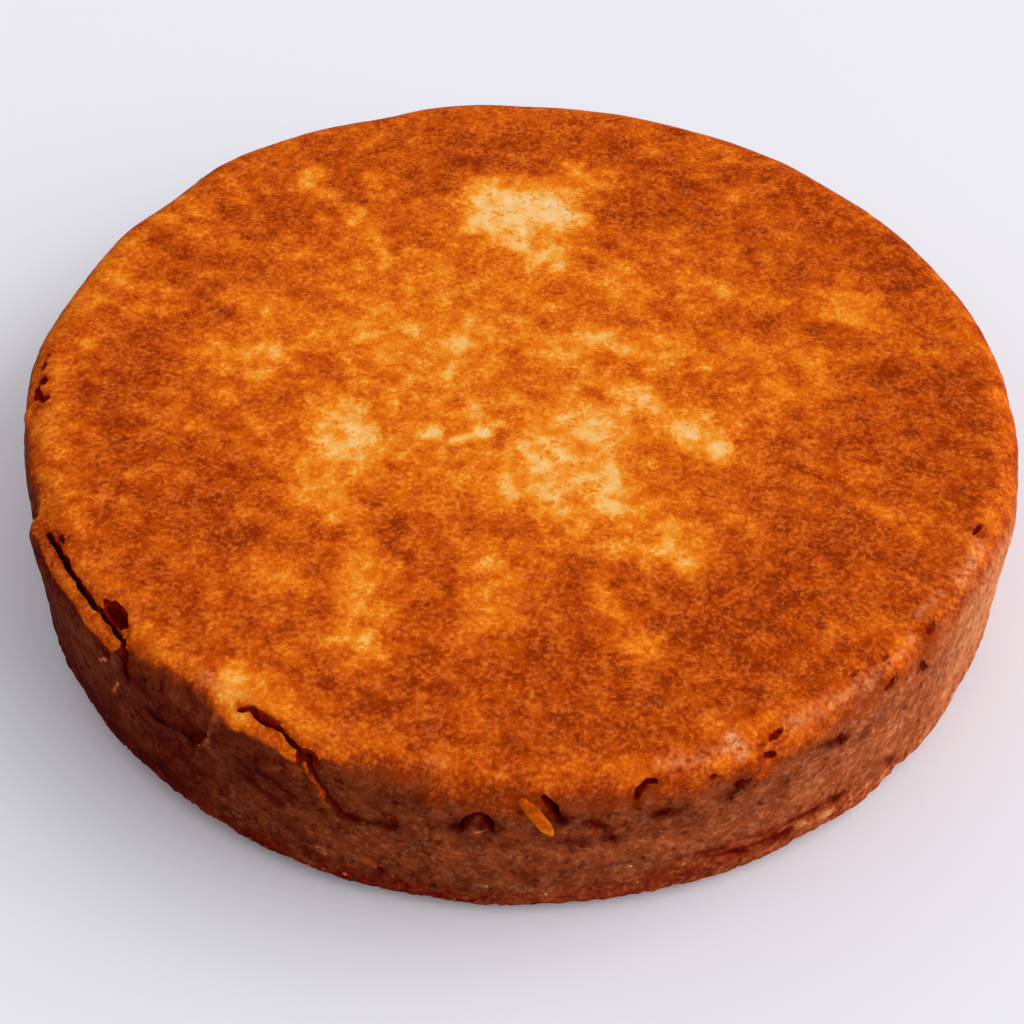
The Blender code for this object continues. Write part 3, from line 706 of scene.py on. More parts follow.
@dataclass(frozen=True)
class Browning:
    """How the baking coloured the crust, with painted light and shade, as smooth fields over its skin."""

    middling: float = 0.727
    palest: float = 0.02
    # Paler band along the front of the rim: a painted highlight on the shoulder.
    pale_knee: float = 0.30
    front_rim_highlight: float = 0.10
    rim_reach: float = 9.0 * MM
    streak_turn: float = -35.0
    edge_darker: float = 0.38
    lip_darker: float = 0.11
    foot_softness: float = 4.0
    crack_halo: float = 1.5
    pit_halo: float = 1.35
    dark_knee: float = 0.76
    darkest: float = 0.96
    warps: Rows = ((11.0, 2.6, 1.0), (4.0, 1.7, 2.0), (1.8, 0.9, 2.2))
    side_warp: float = 0.25
    halo_warp: float = 0.2
    thin_width: float = 1.5
    thin_warp: float = 0.25
    blotches: Rows = ((0.08, 13.0, 3.0), (0.14, 5.0, 4.0), (0.12, 2.4, 5.0))
    streaks: Rows = ((0.14, 4.5, 3.5),)
    streak_stretch: float = 3.2
    edge_waves: Rows = ((0.9, 6.0, 8.0), (0.6, 2.4, 9.0))
    edge_range: Range = (-1.2, 0.3)
    tone_waves: Rows = ((0.07, 9.0, 14.0), (0.08, 3.5, 15.0))
    # Painted shade round the lips of cracks and pits: darker crust on top, redder side.
    crack_shade_darker: float = 0.26
    crack_shade_redder: float = 0.12
    lip_range: Range = (33.5 * MM, 36.0 * MM)
    lip_torn: float = 0.14
    lip_lift: Range = (0.05 * MM, 0.3 * MM)
    rim_wave: tuple[float, float] = (0.7, 0.6)
    rim_wave_length: float = 0.2
    rim_front: Range = (-30.0 * MM, 30.0 * MM)
    rim_fade: float = 0.4
    edge_spread: tuple[float, float] = (0.5, 0.25)
    pit_margin: float = 0.3
    speck: float = 0.01

    def stroke_share(self, spots: np.ndarray, start: np.ndarray, stop: np.ndarray,
                     half_width: float) -> np.ndarray:
        """How fully spots on a flat sheet lie in a stroke, from 0 to 1.

        Args:
            spots: The spots in mm, one row for each.
            start: The stroke's start.
            stop: The stroke's end.
            half_width: How far the stroke reaches to either side.

        Returns:
            One share for each spot.
        """
        span = np.subtract(stop, start)
        flat = spots - np.asarray(start)
        share = np.clip(flat @ span / (span @ span), 0.0, 1.0)
        away = np.linalg.norm(flat - share[:, None] * span, axis=1)
        return np.exp(-((away / half_width) ** 2))

    def warped(self, spots: np.ndarray, points: np.ndarray, amount: float = 1.0) -> np.ndarray:
        """Spots on a flat sheet, pushed about so that strokes get ragged edges.

        Args:
            spots: The spots in mm, one row for each.
            points: Places in metres, one row for each.
            amount: Share of the full push.

        Returns:
            The pushed spots.
        """
        moved = spots.copy()
        for size, reach, layer in self.warps:
            for axis in range(2):
                shift = grain(points, size * MM, layer + 0.5 * axis)
                moved[:, axis] += reach * amount * shift
        return moved

    def unrolled(self, points: np.ndarray) -> np.ndarray:
        """Where places lie on the unrolled side, in mm: round the cake and down its skin.

        Args:
            points: Places in metres, one row for each.

        Returns:
            One spot for each place.
        """
        angle = angle_of(points)
        over = np.hypot(points[:, 0], points[:, 1]) - FORM.flat_radius
        up = points[:, 2] - (FORM.height - FORM.shoulder_round)
        bend = np.arctan2(np.maximum(over, 0.0), np.maximum(up, 1e-6))
        down = np.where(up > 0.0, FORM.shoulder_round * bend, FORM.shoulder_round * math.pi / 2.0 - up)
        down = np.where((up > 0.0) & (over < 0.0), over, down)
        return np.stack([np.radians(angle) * FORM.radius, down], axis=1) / MM

    def unrolled_stop(self, angle: float, height: float) -> np.ndarray:
        """Where one place of the skin, by angle and height in mm, lies on the unrolled side."""
        turn, rise = np.array([angle]), np.array([height * MM])
        return self.unrolled(FORM.smooth_points(turn, FORM.inset_at(rise), rise))[0]

    def painted(self, points: np.ndarray, paint: Paint) -> np.ndarray:
        """All side strokes of one kind, summed.

        Args:
            points: Places in metres, one row for each.
            paint: What the strokes change.

        Returns:
            The summed strength at each place.
        """
        spots = self.warped(self.unrolled(points), points, self.side_warp)
        total = np.zeros(len(points))
        for stroke in SIDE_STROKES[paint]:
            ends = self.unrolled_stop(*stroke.start), self.unrolled_stop(*stroke.stop)
            total += stroke.strength * self.stroke_share(spots, *ends, stroke.half_width)
        return total

    def halo(self, points: np.ndarray) -> np.ndarray:
        """How near places are to a crack or a pit, from 0 far off to 1 at its lips.

        Args:
            points: Places in metres, one row for each.

        Returns:
            One share for each place.
        """
        spots = self.warped(self.unrolled(points), points, self.halo_warp)
        near = np.zeros(len(points))
        for crack in CRACKS:
            ends = [self.unrolled_stop(angle, height) for angle, height, _ in crack.stops]
            for start, stop in zip(ends[:-1], ends[1:]):
                near = np.maximum(near, self.stroke_share(spots, start, stop, self.crack_halo))
        for pit in PITS:
            place = self.unrolled_stop(pit.angle, pit.height)
            reach = self.pit_halo * (pit.across + pit.tall) / 2.0 + self.pit_margin
            near = np.maximum(near, self.stroke_share(spots, place - self.speck, place, reach))
        return near

    def bake(self, points: np.ndarray) -> np.ndarray:
        """How dark the top is baked, from 0 for palest to 1 for darkest, with a painted highlight along
        the front of the rim.

        Args:
            points: Places in metres, one row for each.

        Returns:
            One level for each place.
        """
        flat = points[:, :2] / MM
        spots = self.warped(flat, points)
        level = np.full(len(points), self.middling)
        for stroke in PALE_STROKES + DARK_STROKES:
            near = spots if stroke.half_width > self.thin_width else flat + self.thin_warp * (spots - flat)
            share = self.stroke_share(near, stroke.start, stroke.stop, stroke.half_width)
            level -= stroke.strength * share
        radius = np.hypot(points[:, 0], points[:, 1])
        angle = angle_of(points)
        # A paler band along the front of the rim: a painted highlight on the shoulder.
        inner, outer = self.rim_reach, self.rim_fade * self.rim_reach
        rim = smooth_step(radius, FORM.radius - inner, FORM.radius - outer)
        rim *= smooth_step(-points[:, 1], *self.rim_front)
        steady, uneven = self.rim_wave
        wave = grain(unit_circle(angle), self.rim_wave_length, layer=7.0)
        level -= self.front_rim_highlight * rim * (steady + uneven * wave)
        level += self.mottle(points)
        level = self.eased(level, self.pale_knee, self.palest)
        return self.eased(level, self.dark_knee, self.darkest)

    def eased(self, level: np.ndarray, knee: float, end: float) -> np.ndarray:
        """Level, bent past a knee so that it nears an end and never passes it."""
        past = np.maximum((level - knee) / (end - knee), 0.0)
        return np.where(past > 0.0, knee + (end - knee) * (1.0 - np.exp(-past)), level)

    def lip(self, points: np.ndarray) -> np.ndarray:
        """1 on the torn upper lips of the loosened sheets, 0 elsewhere.

        Args:
            points: Places in metres, one row for each.

        Returns:
            One share for each place.
        """
        angle = angle_of(points)
        lift = FORM.lift(angle, FORM.inset_at(points[:, 2]), points[:, 2])
        high = smooth_step(points[:, 2], *self.lip_range)
        return high * smooth_step(lift, *self.lip_lift)

    def mottle(self, points: np.ndarray) -> np.ndarray:
        """Blotches and slanting streaks of the top.

        Args:
            points: Places in metres, one row for each.

        Returns:
            What each place's level is changed by.
        """
        turn = math.radians(self.streak_turn)
        run = points[:, 0] * math.cos(turn) + points[:, 1] * math.sin(turn)
        across = points[:, 1] * math.cos(turn) - points[:, 0] * math.sin(turn)
        drawn = np.stack([run / self.streak_stretch, across, points[:, 2]], axis=1)
        return layered(points, self.blotches) + layered(drawn, self.streaks)

    def brown(self, points: np.ndarray) -> np.ndarray:
        """How far below the edge of the golden crust a place is, in widths of that edge.

        Args:
            points: Places in metres, one row for each.

        Returns:
            One value for each place, below zero on golden crust.
        """
        angle = angle_of(points)
        edge = read_off(BROWN_BELOW, angle)
        soft = read_off(BROWN_SOFTNESS, angle)
        steady, softer = self.edge_spread
        edge += (steady + softer * soft) * layered(points, self.edge_waves)
        below = edge - points[:, 2] / MM - self.painted(points, Paint.GOLD)
        return below / soft

    def foot(self, points: np.ndarray) -> np.ndarray:
        """How far below the top of the red foot a place is, in widths of its edge."""
        angle = angle_of(points)
        return (read_off(FOOT_BELOW, angle) - points[:, 2] / MM) / self.foot_softness

    def tone(self, points: np.ndarray) -> np.ndarray:
        """How pale the brown side is, from 0 for maroon to 1 for beige, with painted shade and light by
        angle and painted shade round cracks and pits.

        Args:
            points: Places in metres, one row for each.

        Returns:
            One level for each place.
        """
        angle = angle_of(points)
        # The angle table paints shade on the left and light on the right.
        level = read_off(SIDE_TONE_AND_LIGHT, angle) + self.painted(points, Paint.TONE)
        # Painted shade round cracks and pits makes the side redder there.
        return level + layered(points, self.tone_waves) - self.crack_shade_redder * self.halo(points)


# ---------------------------------------------------------------- finishes


@dataclass(frozen=True)
class Speckle:
    """One fine noise: how far apart its spots are, its finer layers, and its twist."""

    size: float
    detail: float = 2.0
    twist: float = 0.0


class Nodes:
    """A short way to lay out one material's nodes."""

    def __init__(self, name: str) -> None:
        """Start a material with its shader and its object coordinates.

        Args:
            name: The material's name.
        """
        self.material = bpy.data.materials.new(name)
        self.material.use_nodes = True
        self.tree = self.material.node_tree
        self.shader = self.tree.nodes["Principled BSDF"]
        self.object_coords = self.tree.nodes.new("ShaderNodeTexCoord").outputs["Object"]

    def link(self, value: object, socket: Socket) -> None:
        """Join an output to an input, or set the input's own value.

        Args:
            value: An output or a plain value.
            socket: The input.
        """
        if isinstance(value, Socket):
            self.tree.links.new(value, socket)
        else:
            socket.default_value = value

    def field(self, name: str) -> Socket:
        """A number stored on the piece's vertices.

        Args:
            name: The field's name.

        Returns:
            Its output.
        """
        node = self.tree.nodes.new("ShaderNodeAttribute")
        node.attribute_name = name
        return node.outputs["Fac"]

    def sum_up(self, operation: str, first: object, second: object) -> Socket:
        """One sum of two values.

        Args:
            operation: Blender's name for the sum.
            first: The first value or output.
            second: The second value or output.

        Returns:
            The result's output.
        """
        node = self.tree.nodes.new("ShaderNodeMath")
        node.operation = operation
        self.link(first, node.inputs[0])
        self.link(second, node.inputs[1])
        return node.outputs[0]

    def plus(self, value: object, spots: Socket, share: object) -> Socket:
        """A value, pushed up and down by a share of a noise about 0.5.

        Args:
            value: What is pushed.
            spots: The noise.
            share: How strongly it pushes.

        Returns:
            The sum's output.
        """
        node = self.tree.nodes.new("ShaderNodeMath")
        node.operation = "MULTIPLY_ADD"
        self.link(self.sum_up("SUBTRACT", spots, 0.5), node.inputs[0])
        self.link(share, node.inputs[1])
        self.link(value, node.inputs[2])
        return node.outputs[0]

    def speckle(self, spots: Speckle) -> Socket:
        """Noise about 0.5.

        Args:
            spots: The noise's size, detail and twist.

        Returns:
            The noise's output.
        """
        node = self.tree.nodes.new("ShaderNodeTexNoise")
        self.link(self.object_coords, node.inputs["Vector"])
        node.inputs["Scale"].default_value = 1.0 / spots.size
        node.inputs["Detail"].default_value = spots.detail
        node.inputs["Distortion"].default_value = spots.twist
        return node.outputs["Fac"]

    def drifts(self, pair: tuple[Speckle, Speckle], share: float, spread: Range) -> Socket:
        """Spots that come in drifts.

        Args:
            pair: The spots' noise, and the coarser noise of their drifts.
            share: How strongly the drifts gather them.
            spread: Where the summed noise starts to show, and where it shows fully.

        Returns:
            How strongly the spots show, from 0 to 1.
        """
        both = self.plus(self.speckle(pair[0]), self.speckle(pair[1]), share)
        return self.between(both, *spread)

    def between(self, value: object, low: float, high: float) -> Socket:
        """A smooth step of a value from 0 at low to 1 at high.

        Args:
            value: What is stepped.
            low: Where the step starts.
            high: Where it ends.

        Returns:
            The step's output.
        """
        node = self.tree.nodes.new("ShaderNodeMapRange")
        node.interpolation_type = "SMOOTHSTEP"
        self.link(value, node.inputs["Value"])
        node.inputs["From Min"].default_value = low
        node.inputs["From Max"].default_value = high
        return node.outputs["Result"]

    def ramp(self, value: Socket, stops: Stops) -> Socket:
        """A colour that runs through stops as a value grows.

        Args:
            value: What runs along the ramp.
            stops: Its places and colours.

        Returns:
            The colour's output.
        """
        node = self.tree.nodes.new("ShaderNodeValToRGB")
        self.link(value, node.inputs["Fac"])
        line = node.color_ramp
        while len(line.elements) < len(stops):
            line.elements.new(0.5)
        for element, (place, colour) in zip(line.elements, stops):
            element.position = place
            element.color = (*colour, 1.0)
        return node.outputs["Color"]

    def mix(self, share: object, first: object, second: object, blend: str = "MIX") -> Socket:
        """First colour where the share is 0, and blended with the second where it is 1.

        Args:
            share: How much of the second.
            first: The first colour.
            second: The second colour.
            blend: How the two blend.

        Returns:
            The colour's output.
        """
        node = self.tree.nodes.new("ShaderNodeMix")
        node.data_type = "RGBA"
        node.blend_type = blend
        self.link(share, node.inputs["Factor"])
        self.link(first, node.inputs[6])
        self.link(second, node.inputs[7])
        return node.outputs[2]

    def bump(self, height: object, reach: float, under: object = None) -> Socket:
        """A raised or sunken look.

        Args:
            height: What is raised, from 0 to 1.
            reach: How high 1 stands, in metres.
            under: The normal of a coarser bump beneath, if any.

        Returns:
            The normal's output.
        """
        node = self.tree.nodes.new("ShaderNodeBump")
        self.link(height, node.inputs["Height"])
        node.inputs["Distance"].default_value = reach
        if under is not None:
            self.tree.links.new(under, node.inputs["Normal"])
        return node.outputs[0]


@dataclass(frozen=True)
class BakedCrust:
    """Baked crust: golden to deep orange on top, brown at the side, red-brown below, with painted glints,
    sheen and shade.
    """

    top: Stops = (
        (0.00, (0.80, 0.50, 0.235)),
        (0.15, (0.79, 0.405, 0.102)),
        (0.30, (0.75, 0.24, 0.016)),
        (0.45, (0.68, 0.150, 0.0050)),
        (0.60, (0.56, 0.096, 0.0030)),
        (0.78, (0.43, 0.055, 0.0020)),
        (1.00, (0.24, 0.022, 0.0010)),
    )
    side: Stops = (
        (0.00, (0.045, 0.0018, 0.0005)),
        (0.10, (0.080, 0.0042, 0.0010)),
        (0.20, (0.100, 0.0130, 0.0030)),
        (0.34, (0.172, 0.0280, 0.0066)),
        (0.52, (0.300, 0.0570, 0.0135)),
        (0.70, (0.480, 0.1200, 0.0340)),
        (0.88, (0.610, 0.2750, 0.1450)),
    )
    foot: Stops = (
        (0.02, (0.060, 0.0022, 0.0006)),
        (0.20, (0.140, 0.0070, 0.0014)),
        (0.36, (0.190, 0.0210, 0.0042)),
        (0.54, (0.310, 0.0500, 0.0105)),
        (0.72, (0.450, 0.1200, 0.0300)),
        (0.95, (0.600, 0.2600, 0.1050)),
    )
    torn: Stops = (
        (0.25, (0.120, 0.0028, 0.0010)),
        (0.55, (0.200, 0.0060, 0.0012)),
        (0.80, (0.310, 0.0200, 0.0022)),
    )
    # Colours added as painted glints on the side, dark where the side is painted shaded and bright where
    # it is lit.
    side_grain: Stops = (
        (0.05, (0.006, 0.0020, 0.0008)),
        (0.20, (0.040, 0.0170, 0.0078)),
        (0.40, (0.105, 0.0470, 0.0225)),
        (0.80, (0.260, 0.1400, 0.0780)),
    )
    # Pale peach of the painted glints on the crumb.
    glint_colour: Colour = (0.880, 0.330, 0.080)
    # Painted shade deep inside the cracks and pits.
    deep: Colour = (0.110, 0.0012, 0.0008)
    # Pale pink of the crumbs and of the painted sheen.
    bloom: Colour = (0.760, 0.370, 0.160)
    roughness: float = 0.55
    gloss: float = 0.003
    sponge: Speckle = Speckle(1.25 * MM, 1.2)
    sponge_height: float = 0.22 * MM
    crags: Speckle = Speckle(2.2 * MM, 3.0, 0.3)
    crag_height: float = 0.7 * MM
    torn_edge: Speckle = Speckle(1.0 * MM, 3.0)
    torn_ragged: float = 0.8
    torn_range: Range = (0.34, 0.62)
    torn_crumb: Speckle = Speckle(1.3 * MM, 3.0)
    deep_shade_range: Range = (0.9, 2.8)
    brown_edge: Speckle = Speckle(2.4 * MM, 3.0, 0.3)
    brown_ragged: float = 1.3
    brown_range: Range = (-0.75, 0.75)
    paleness_and_sheen_dots: Speckle = Speckle(0.55 * MM, 1.0)
    paleness_and_sheen_broken: float = 0.5
    paleness_and_sheen_range: Range = (0.20, 0.88)
    darker_range: Range = (0.10, 0.60)
    blotches: Speckle = Speckle(3.4 * MM, 3.0, 0.3)
    blotch_share: float = 0.72
    sponge_share: float = -0.24
    dark_sponge_share: float = -0.34
    pores: tuple[Speckle, Speckle] = (Speckle(1.25 * MM, 1.0, 0.2), Speckle(7.0 * MM))
    pore_drift: float = 0.5
    pore_range: Range = (0.58, 0.76)
    pore_darker: float = 0.24
    # Painted glints: fine pale dots that come in drifts.
    glint_flecks: tuple[Speckle, Speckle] = (Speckle(0.8 * MM, 1.5), Speckle(4.5 * MM))
    glint_drift: float = 0.4
    glint_range: Range = (0.40, 0.80)
    glint_paler: float = 0.21
    glint_cover: float = 0.12
    side_blotches: Speckle = Speckle(4.2 * MM, 3.0, 0.4)
    side_blotch_share: float = 0.46
    side_sponge_share: float = 0.22
    side_spot_darker: float = 0.20
    side_spots: Speckle = Speckle(1.9 * MM, 2.0, 0.4)
    side_spot_range: Range = (0.56, 0.74)
    foot_blotches: Speckle = Speckle(2.2 * MM, 3.0, 0.4)
    foot_blotch_share: float = 0.85
    foot_sponge_share: float = 0.4
    foot_edge: Speckle = Speckle(5.0 * MM, 3.0)
    foot_ragged: float = 2.4
    foot_range: Range = (-0.5, 0.6)
    # Painted glints on the side, in drifts.
    side_glints: tuple[Speckle, Speckle] = (Speckle(1.0 * MM, 2.0), Speckle(2.6 * MM))
    side_glint_drift: float = 0.5
    side_glint_range: Range = (0.44, 0.78)

    def make(self) -> bpy.types.Material:
        """Lay out the nodes.

        Returns:
            The material.
        """
        nodes = Nodes("baked_crust")
        shader = nodes.shader
        sponge = nodes.speckle(self.sponge)
        brown = self.brown_share(nodes)
        bloom = self.paleness_and_sheen_share(nodes, sponge)
        ragged = nodes.plus(nodes.field("torn"), nodes.speckle(self.torn_edge), self.torn_ragged)
        torn = nodes.between(ragged, *self.torn_range)
        colour = nodes.mix(brown, self.top_colour(nodes, sponge), self.side_colour(nodes, sponge))
        # Pale crumbs and painted sheen of the light.
        colour = nodes.mix(bloom, colour, (*self.bloom, 1.0))
        colour = nodes.mix(torn, colour, self.torn_colour(nodes))
        nodes.link(colour, shader.inputs["Base Color"])
        shader.inputs["Roughness"].default_value = self.roughness
        shader.inputs["Specular IOR Level"].default_value = self.gloss
        nodes.link(self.relief(nodes, sponge, brown), shader.inputs["Normal"])
        return nodes.material

    def brown_share(self, nodes: Nodes) -> Socket:
        """1 on the brown side and 0 on the golden top, with a ragged edge."""
        ragged = nodes.plus(nodes.field("brown"), nodes.speckle(self.brown_edge), self.brown_ragged)
        return nodes.between(ragged, *self.brown_range)

    def paleness_and_sheen_share(self, nodes: Nodes, sponge: Socket) -> Socket:
        """How strongly the pale pinkish patches cover the crust: pale crumbs, and painted sheen of the
        light on the shoulder and the right side.

        Args:
            nodes: The material's nodes.
            sponge: The sponge texture's noise.

        Returns:
            The share's output.
        """
        dots = nodes.plus(sponge, nodes.speckle(self.paleness_and_sheen_dots), self.paleness_and_sheen_broken)
        broken = nodes.between(dots, *self.paleness_and_sheen_range)
        return nodes.sum_up("MULTIPLY", nodes.field("bloom"), broken)

    def top_colour(self, nodes: Nodes, sponge: Socket) -> Socket:
        """Golden and orange crust, mottled, with dark pores and fine pale dots that are painted glints.

        Args:
            nodes: The material's nodes.
            sponge: The sponge texture's noise.

        Returns:
            The colour's output.
        """
        # Baking level, with the painted highlight on the front rim and painted shade round cracks.
        bake = nodes.field("bake")
        darker = nodes.between(bake, *self.darker_range)
        level = nodes.plus(bake, nodes.speckle(self.blotches), self.blotch_share)
        level = nodes.plus(level, sponge, self.sponge_share)
        level = nodes.plus(level, sponge, nodes.sum_up("MULTIPLY", darker, self.dark_sponge_share))
        pores = nodes.drifts(self.pores, self.pore_drift, self.pore_range)
        pores = nodes.sum_up("MULTIPLY", pores, self.pore_darker)
        # Fine pale dots, painted glints, more where the top is darker.
        glint_flecks = nodes.drifts(self.glint_flecks, self.glint_drift, self.glint_range)
        glint_flecks = nodes.sum_up("MULTIPLY", glint_flecks, darker)
        level = nodes.sum_up("ADD", level, pores)
        level = nodes.sum_up("SUBTRACT", level, nodes.sum_up("MULTIPLY", glint_flecks, self.glint_paler))
        share = nodes.sum_up("MULTIPLY", glint_flecks, self.glint_cover)
        return nodes.mix(share, nodes.ramp(level, self.top), (*self.glint_colour, 1.0))

    def side_colour(self, nodes: Nodes, sponge: Socket) -> Socket:
        """Brown side crust that turns redder and craggier towards the base, with pale painted glints that
        are brighter on the lit right.

        Args:
            nodes: The material's nodes.
            sponge: The sponge texture's noise.

        Returns:
            The colour's output.
        """
        tone = nodes.field("tone")
        level = nodes.plus(tone, nodes.speckle(self.side_blotches), self.side_blotch_share)
        spots = nodes.between(nodes.speckle(self.side_spots), *self.side_spot_range)
        level = nodes.sum_up("SUBTRACT", level, nodes.sum_up("MULTIPLY", spots, self.side_spot_darker))
        colour = nodes.ramp(nodes.plus(level, sponge, self.side_sponge_share), self.side)
        level = nodes.plus(tone, nodes.speckle(self.foot_blotches), self.foot_blotch_share)
        foot = nodes.ramp(nodes.plus(level, sponge, self.foot_sponge_share), self.foot)
        ragged = nodes.plus(nodes.field("foot"), nodes.speckle(self.foot_edge), self.foot_ragged)
        colour = nodes.mix(nodes.between(ragged, *self.foot_range), colour, foot)
        # Pale specks added on the side: painted glints.
        side_glints = nodes.drifts(self.side_glints, self.side_glint_drift, self.side_glint_range)
        return nodes.mix(side_glints, colour, nodes.ramp(tone, self.side_grain), "ADD")

    def torn_colour(self, nodes: Nodes) -> Socket:
        """Moist crumb inside the cracks and pits, with painted shade that darkens it with depth.

        Args:
            nodes: The material's nodes.

        Returns:
            The colour's output.
        """
        crumb = nodes.ramp(nodes.speckle(self.torn_crumb), self.torn)
        depth = nodes.between(nodes.field("torn"), *self.deep_shade_range)
        return nodes.mix(depth, crumb, (*self.deep, 1.0))

    def relief(self, nodes: Nodes, sponge: Socket, brown: Socket) -> Socket:
        """Fine sponge texture, and the rougher side.

        Args:
            nodes: The material's nodes.
            sponge: The sponge texture's noise.
            brown: How far the crust is brown.

        Returns:
            The normal's output.
        """
        coarse = nodes.bump(sponge, self.sponge_height)
        crags = nodes.sum_up("MULTIPLY", nodes.speckle(self.crags), brown)
        return nodes.bump(crags, self.crag_height, coarse)


@dataclass(frozen=True)
class LooseCrumb:
    """Crumbs and flakes, each with a tone of its own from dark to pale."""

    tones: Stops = (
        (0.00, (0.120, 0.012, 0.002)),
        (0.30, (0.300, 0.045, 0.008)),
        (0.50, (0.620, 0.110, 0.006)),
        (0.70, (0.780, 0.200, 0.012)),
        (0.85, (0.740, 0.330, 0.110)),
        (1.00, (0.800, 0.480, 0.260)),
    )
    mottle: float = 0.7
    roughness: float = 0.6
    gloss: float = 0.05
    spots: Speckle = Speckle(0.8 * MM, 3.0)
    crags: Speckle = Speckle(0.6 * MM, 3.0)
    crag_height: float = 0.2 * MM

    def make(self, name: str) -> bpy.types.Material:
        """Lay out the nodes.

        Args:
            name: The material's name.

        Returns:
            The material.
        """
        nodes = Nodes(name)
        level = nodes.plus(nodes.field("tone"), nodes.speckle(self.spots), self.mottle)
        nodes.link(nodes.ramp(level, self.tones), nodes.shader.inputs["Base Color"])
        nodes.shader.inputs["Roughness"].default_value = self.roughness
        nodes.shader.inputs["Specular IOR Level"].default_value = self.gloss
        bump = nodes.bump(nodes.speckle(self.crags), self.crag_height)
        nodes.link(bump, nodes.shader.inputs["Normal"])
        return nodes.material


# ---------------------------------------------------------------- the cake's pieces


@dataclass
class CutTools:
    """The wedges and rounded forms that are cut out of the crust."""

    ragged: float = 0.32
    clearance: float = 1.5 * MM
    crack_floor: float = 0.3 * MM
    wedge_sides: int = 28
    ring_step: float = 0.40 * MM
    wall_grain: float = 0.24 * MM
    wander: float = 0.3
    large_pit: float = 1.8
    wall_waves: Rows = ((1.0, 1.1, 12.0), (0.5, 0.6, 13.0))
    width_wobble: float = 0.40
    wall_squareness: float = 0.4
    end_sink: float = 0.3
    path_wave_length: float = 2.6 * MM
    width_wave_length: float = 1.9 * MM
    path_step: float = 0.02
    pit_wave: float = 1.7
    pit_fine_wave: float = 3.6
    pit_fine_share: float = 0.45
    made: list[bpy.types.Object] = field(default_factory=list)

    def make_all(self) -> list[bpy.types.Object]:
        """Make every cutter.

        Returns:
            The cutters' objects.
        """
        for crack in CRACKS:
            self.made.append(self.wedge(crack))
        for index, pit in enumerate(PITS):
            large = max(pit.across, pit.tall) > self.large_pit
            self.made.append(self.pit(f"pit_{index}", pit, 4 if large else 3))
        return self.made

    def wedge(self, crack: Crack) -> bpy.types.Object:
        """Draw a ball out into the long wedge of one crack.

        Args:
            crack: The crack that it cuts.

        Returns:
            The wedge's object.
        """
        stops = np.array(crack.stops)
        centres = FORM.skin_at(stops[:, 0], stops[:, 1] * MM)
        legs = np.linalg.norm(np.diff(centres, axis=0), axis=1)
        reach = np.concatenate([[0.0], np.cumsum(legs)])
        rings = max(int(reach[-1] / self.ring_step), 6)
        deselect_all()
        bpy.ops.mesh.primitive_uv_sphere_add(segments=self.wedge_sides, ring_count=rings)
        piece = take(crack.name)
        ball = places_of(piece)
        share = np.arccos(np.clip(ball[:, 2], -1.0, 1.0)) / math.pi
        around = np.arctan2(ball[:, 1], ball[:, 0])
        pole = np.hypot(ball[:, 0], ball[:, 1]) < 1e-4
        station = share * reach[-1]
        angle, height, width = (np.interp(station, reach, stops[:, part]) for part in range(3))
        rough_path = FORM.skin_at(angle, height * MM)
        wander = self.wander * grain(rough_path, self.path_wave_length, layer=10.0)
        height = height + wander * np.minimum(width, 1.0)
        middle = FORM.skin_at(angle, height * MM)
        step = reach[-1] * self.path_step
        ends = [
            FORM.skin_at(
                np.interp(station + turn, reach, stops[:, 0]),
                np.interp(station + turn, reach, stops[:, 1]) * MM,
            )
            for turn in (-step, step)
        ]
        run = ends[1] - ends[0]
        inwards = -FORM.normal(angle, FORM.slope_at(height * MM))
        if crack.way is Way.DOWNWARDS:
            inwards = np.broadcast_to(np.array([0.0, 0.0, -1.0]), inwards.shape)
        sideways = np.cross(run, inwards)
        sideways /= np.linalg.norm(sideways, axis=1)[:, None]
        down = (1.0 - np.cos(around)) / 2.0
        sink = -self.clearance + (crack.depth + self.clearance) * down
        mouth = width * MM * (1.0 + self.clearance / crack.depth)
        half = (mouth + (self.crack_floor - mouth) * down) / 2.0
        spread = half * np.sign(np.sin(around)) * np.abs(np.sin(around)) ** self.wall_squareness
        spread = np.where(pole, 0.0, spread)
        sink = np.where(pole, crack.depth * self.end_sink, sink)
        places = middle + inwards * sink[:, None]
        wobble = 1.0 + self.width_wobble * grain(places, self.width_wave_length, layer=11.0)
        rough = self.wall_grain * layered(places, self.wall_waves)
        places = places + sideways * (spread * wobble + np.where(pole, 0.0, rough))[:, None]
        move_to(piece, places)
        return piece

    def pit(self, name: str, blob: Blob, fineness: int) -> bpy.types.Object:
        """Shape a ball into one ragged pit or lump, turned to lie in the skin.

        Args:
            name: The piece's name.
            blob: Its place and half sizes.
            fineness: How often the ball's faces are split.

        Returns:
            The piece's object.
        """
        deselect_all()
        bpy.ops.mesh.primitive_ico_sphere_add(subdivisions=fineness, radius=1.0)
        piece = take(name)
        ball = places_of(piece)
        angle, height = np.array([blob.angle]), np.array([blob.height * MM])
        centre = FORM.skin_at(angle, height)[0]
        out = FORM.normal(angle, FORM.slope_at(height))[0]
        around = np.cross([0.0, 0.0, 1.0], unit_circle(blob.angle))
        upwards = np.cross(out, around)
        spin = np.array(Matrix.Rotation(math.radians(blob.tilt), 3, "Z"))
        frame = np.stack([around, upwards, out], axis=1) @ spin
        sizes = np.array([blob.across, blob.tall, blob.through]) * MM
        swell = 1.0 + self.ragged * grain(ball * self.pit_wave + centre / MM, 1.0, 0.0)
        fine = grain(ball * self.pit_fine_wave + centre / MM, 1.0, 1.0)
        swell += self.pit_fine_share * self.ragged * fine
        move_to(piece, centre + (ball * sizes * swell[:, None]) @ frame.T)
        return piece


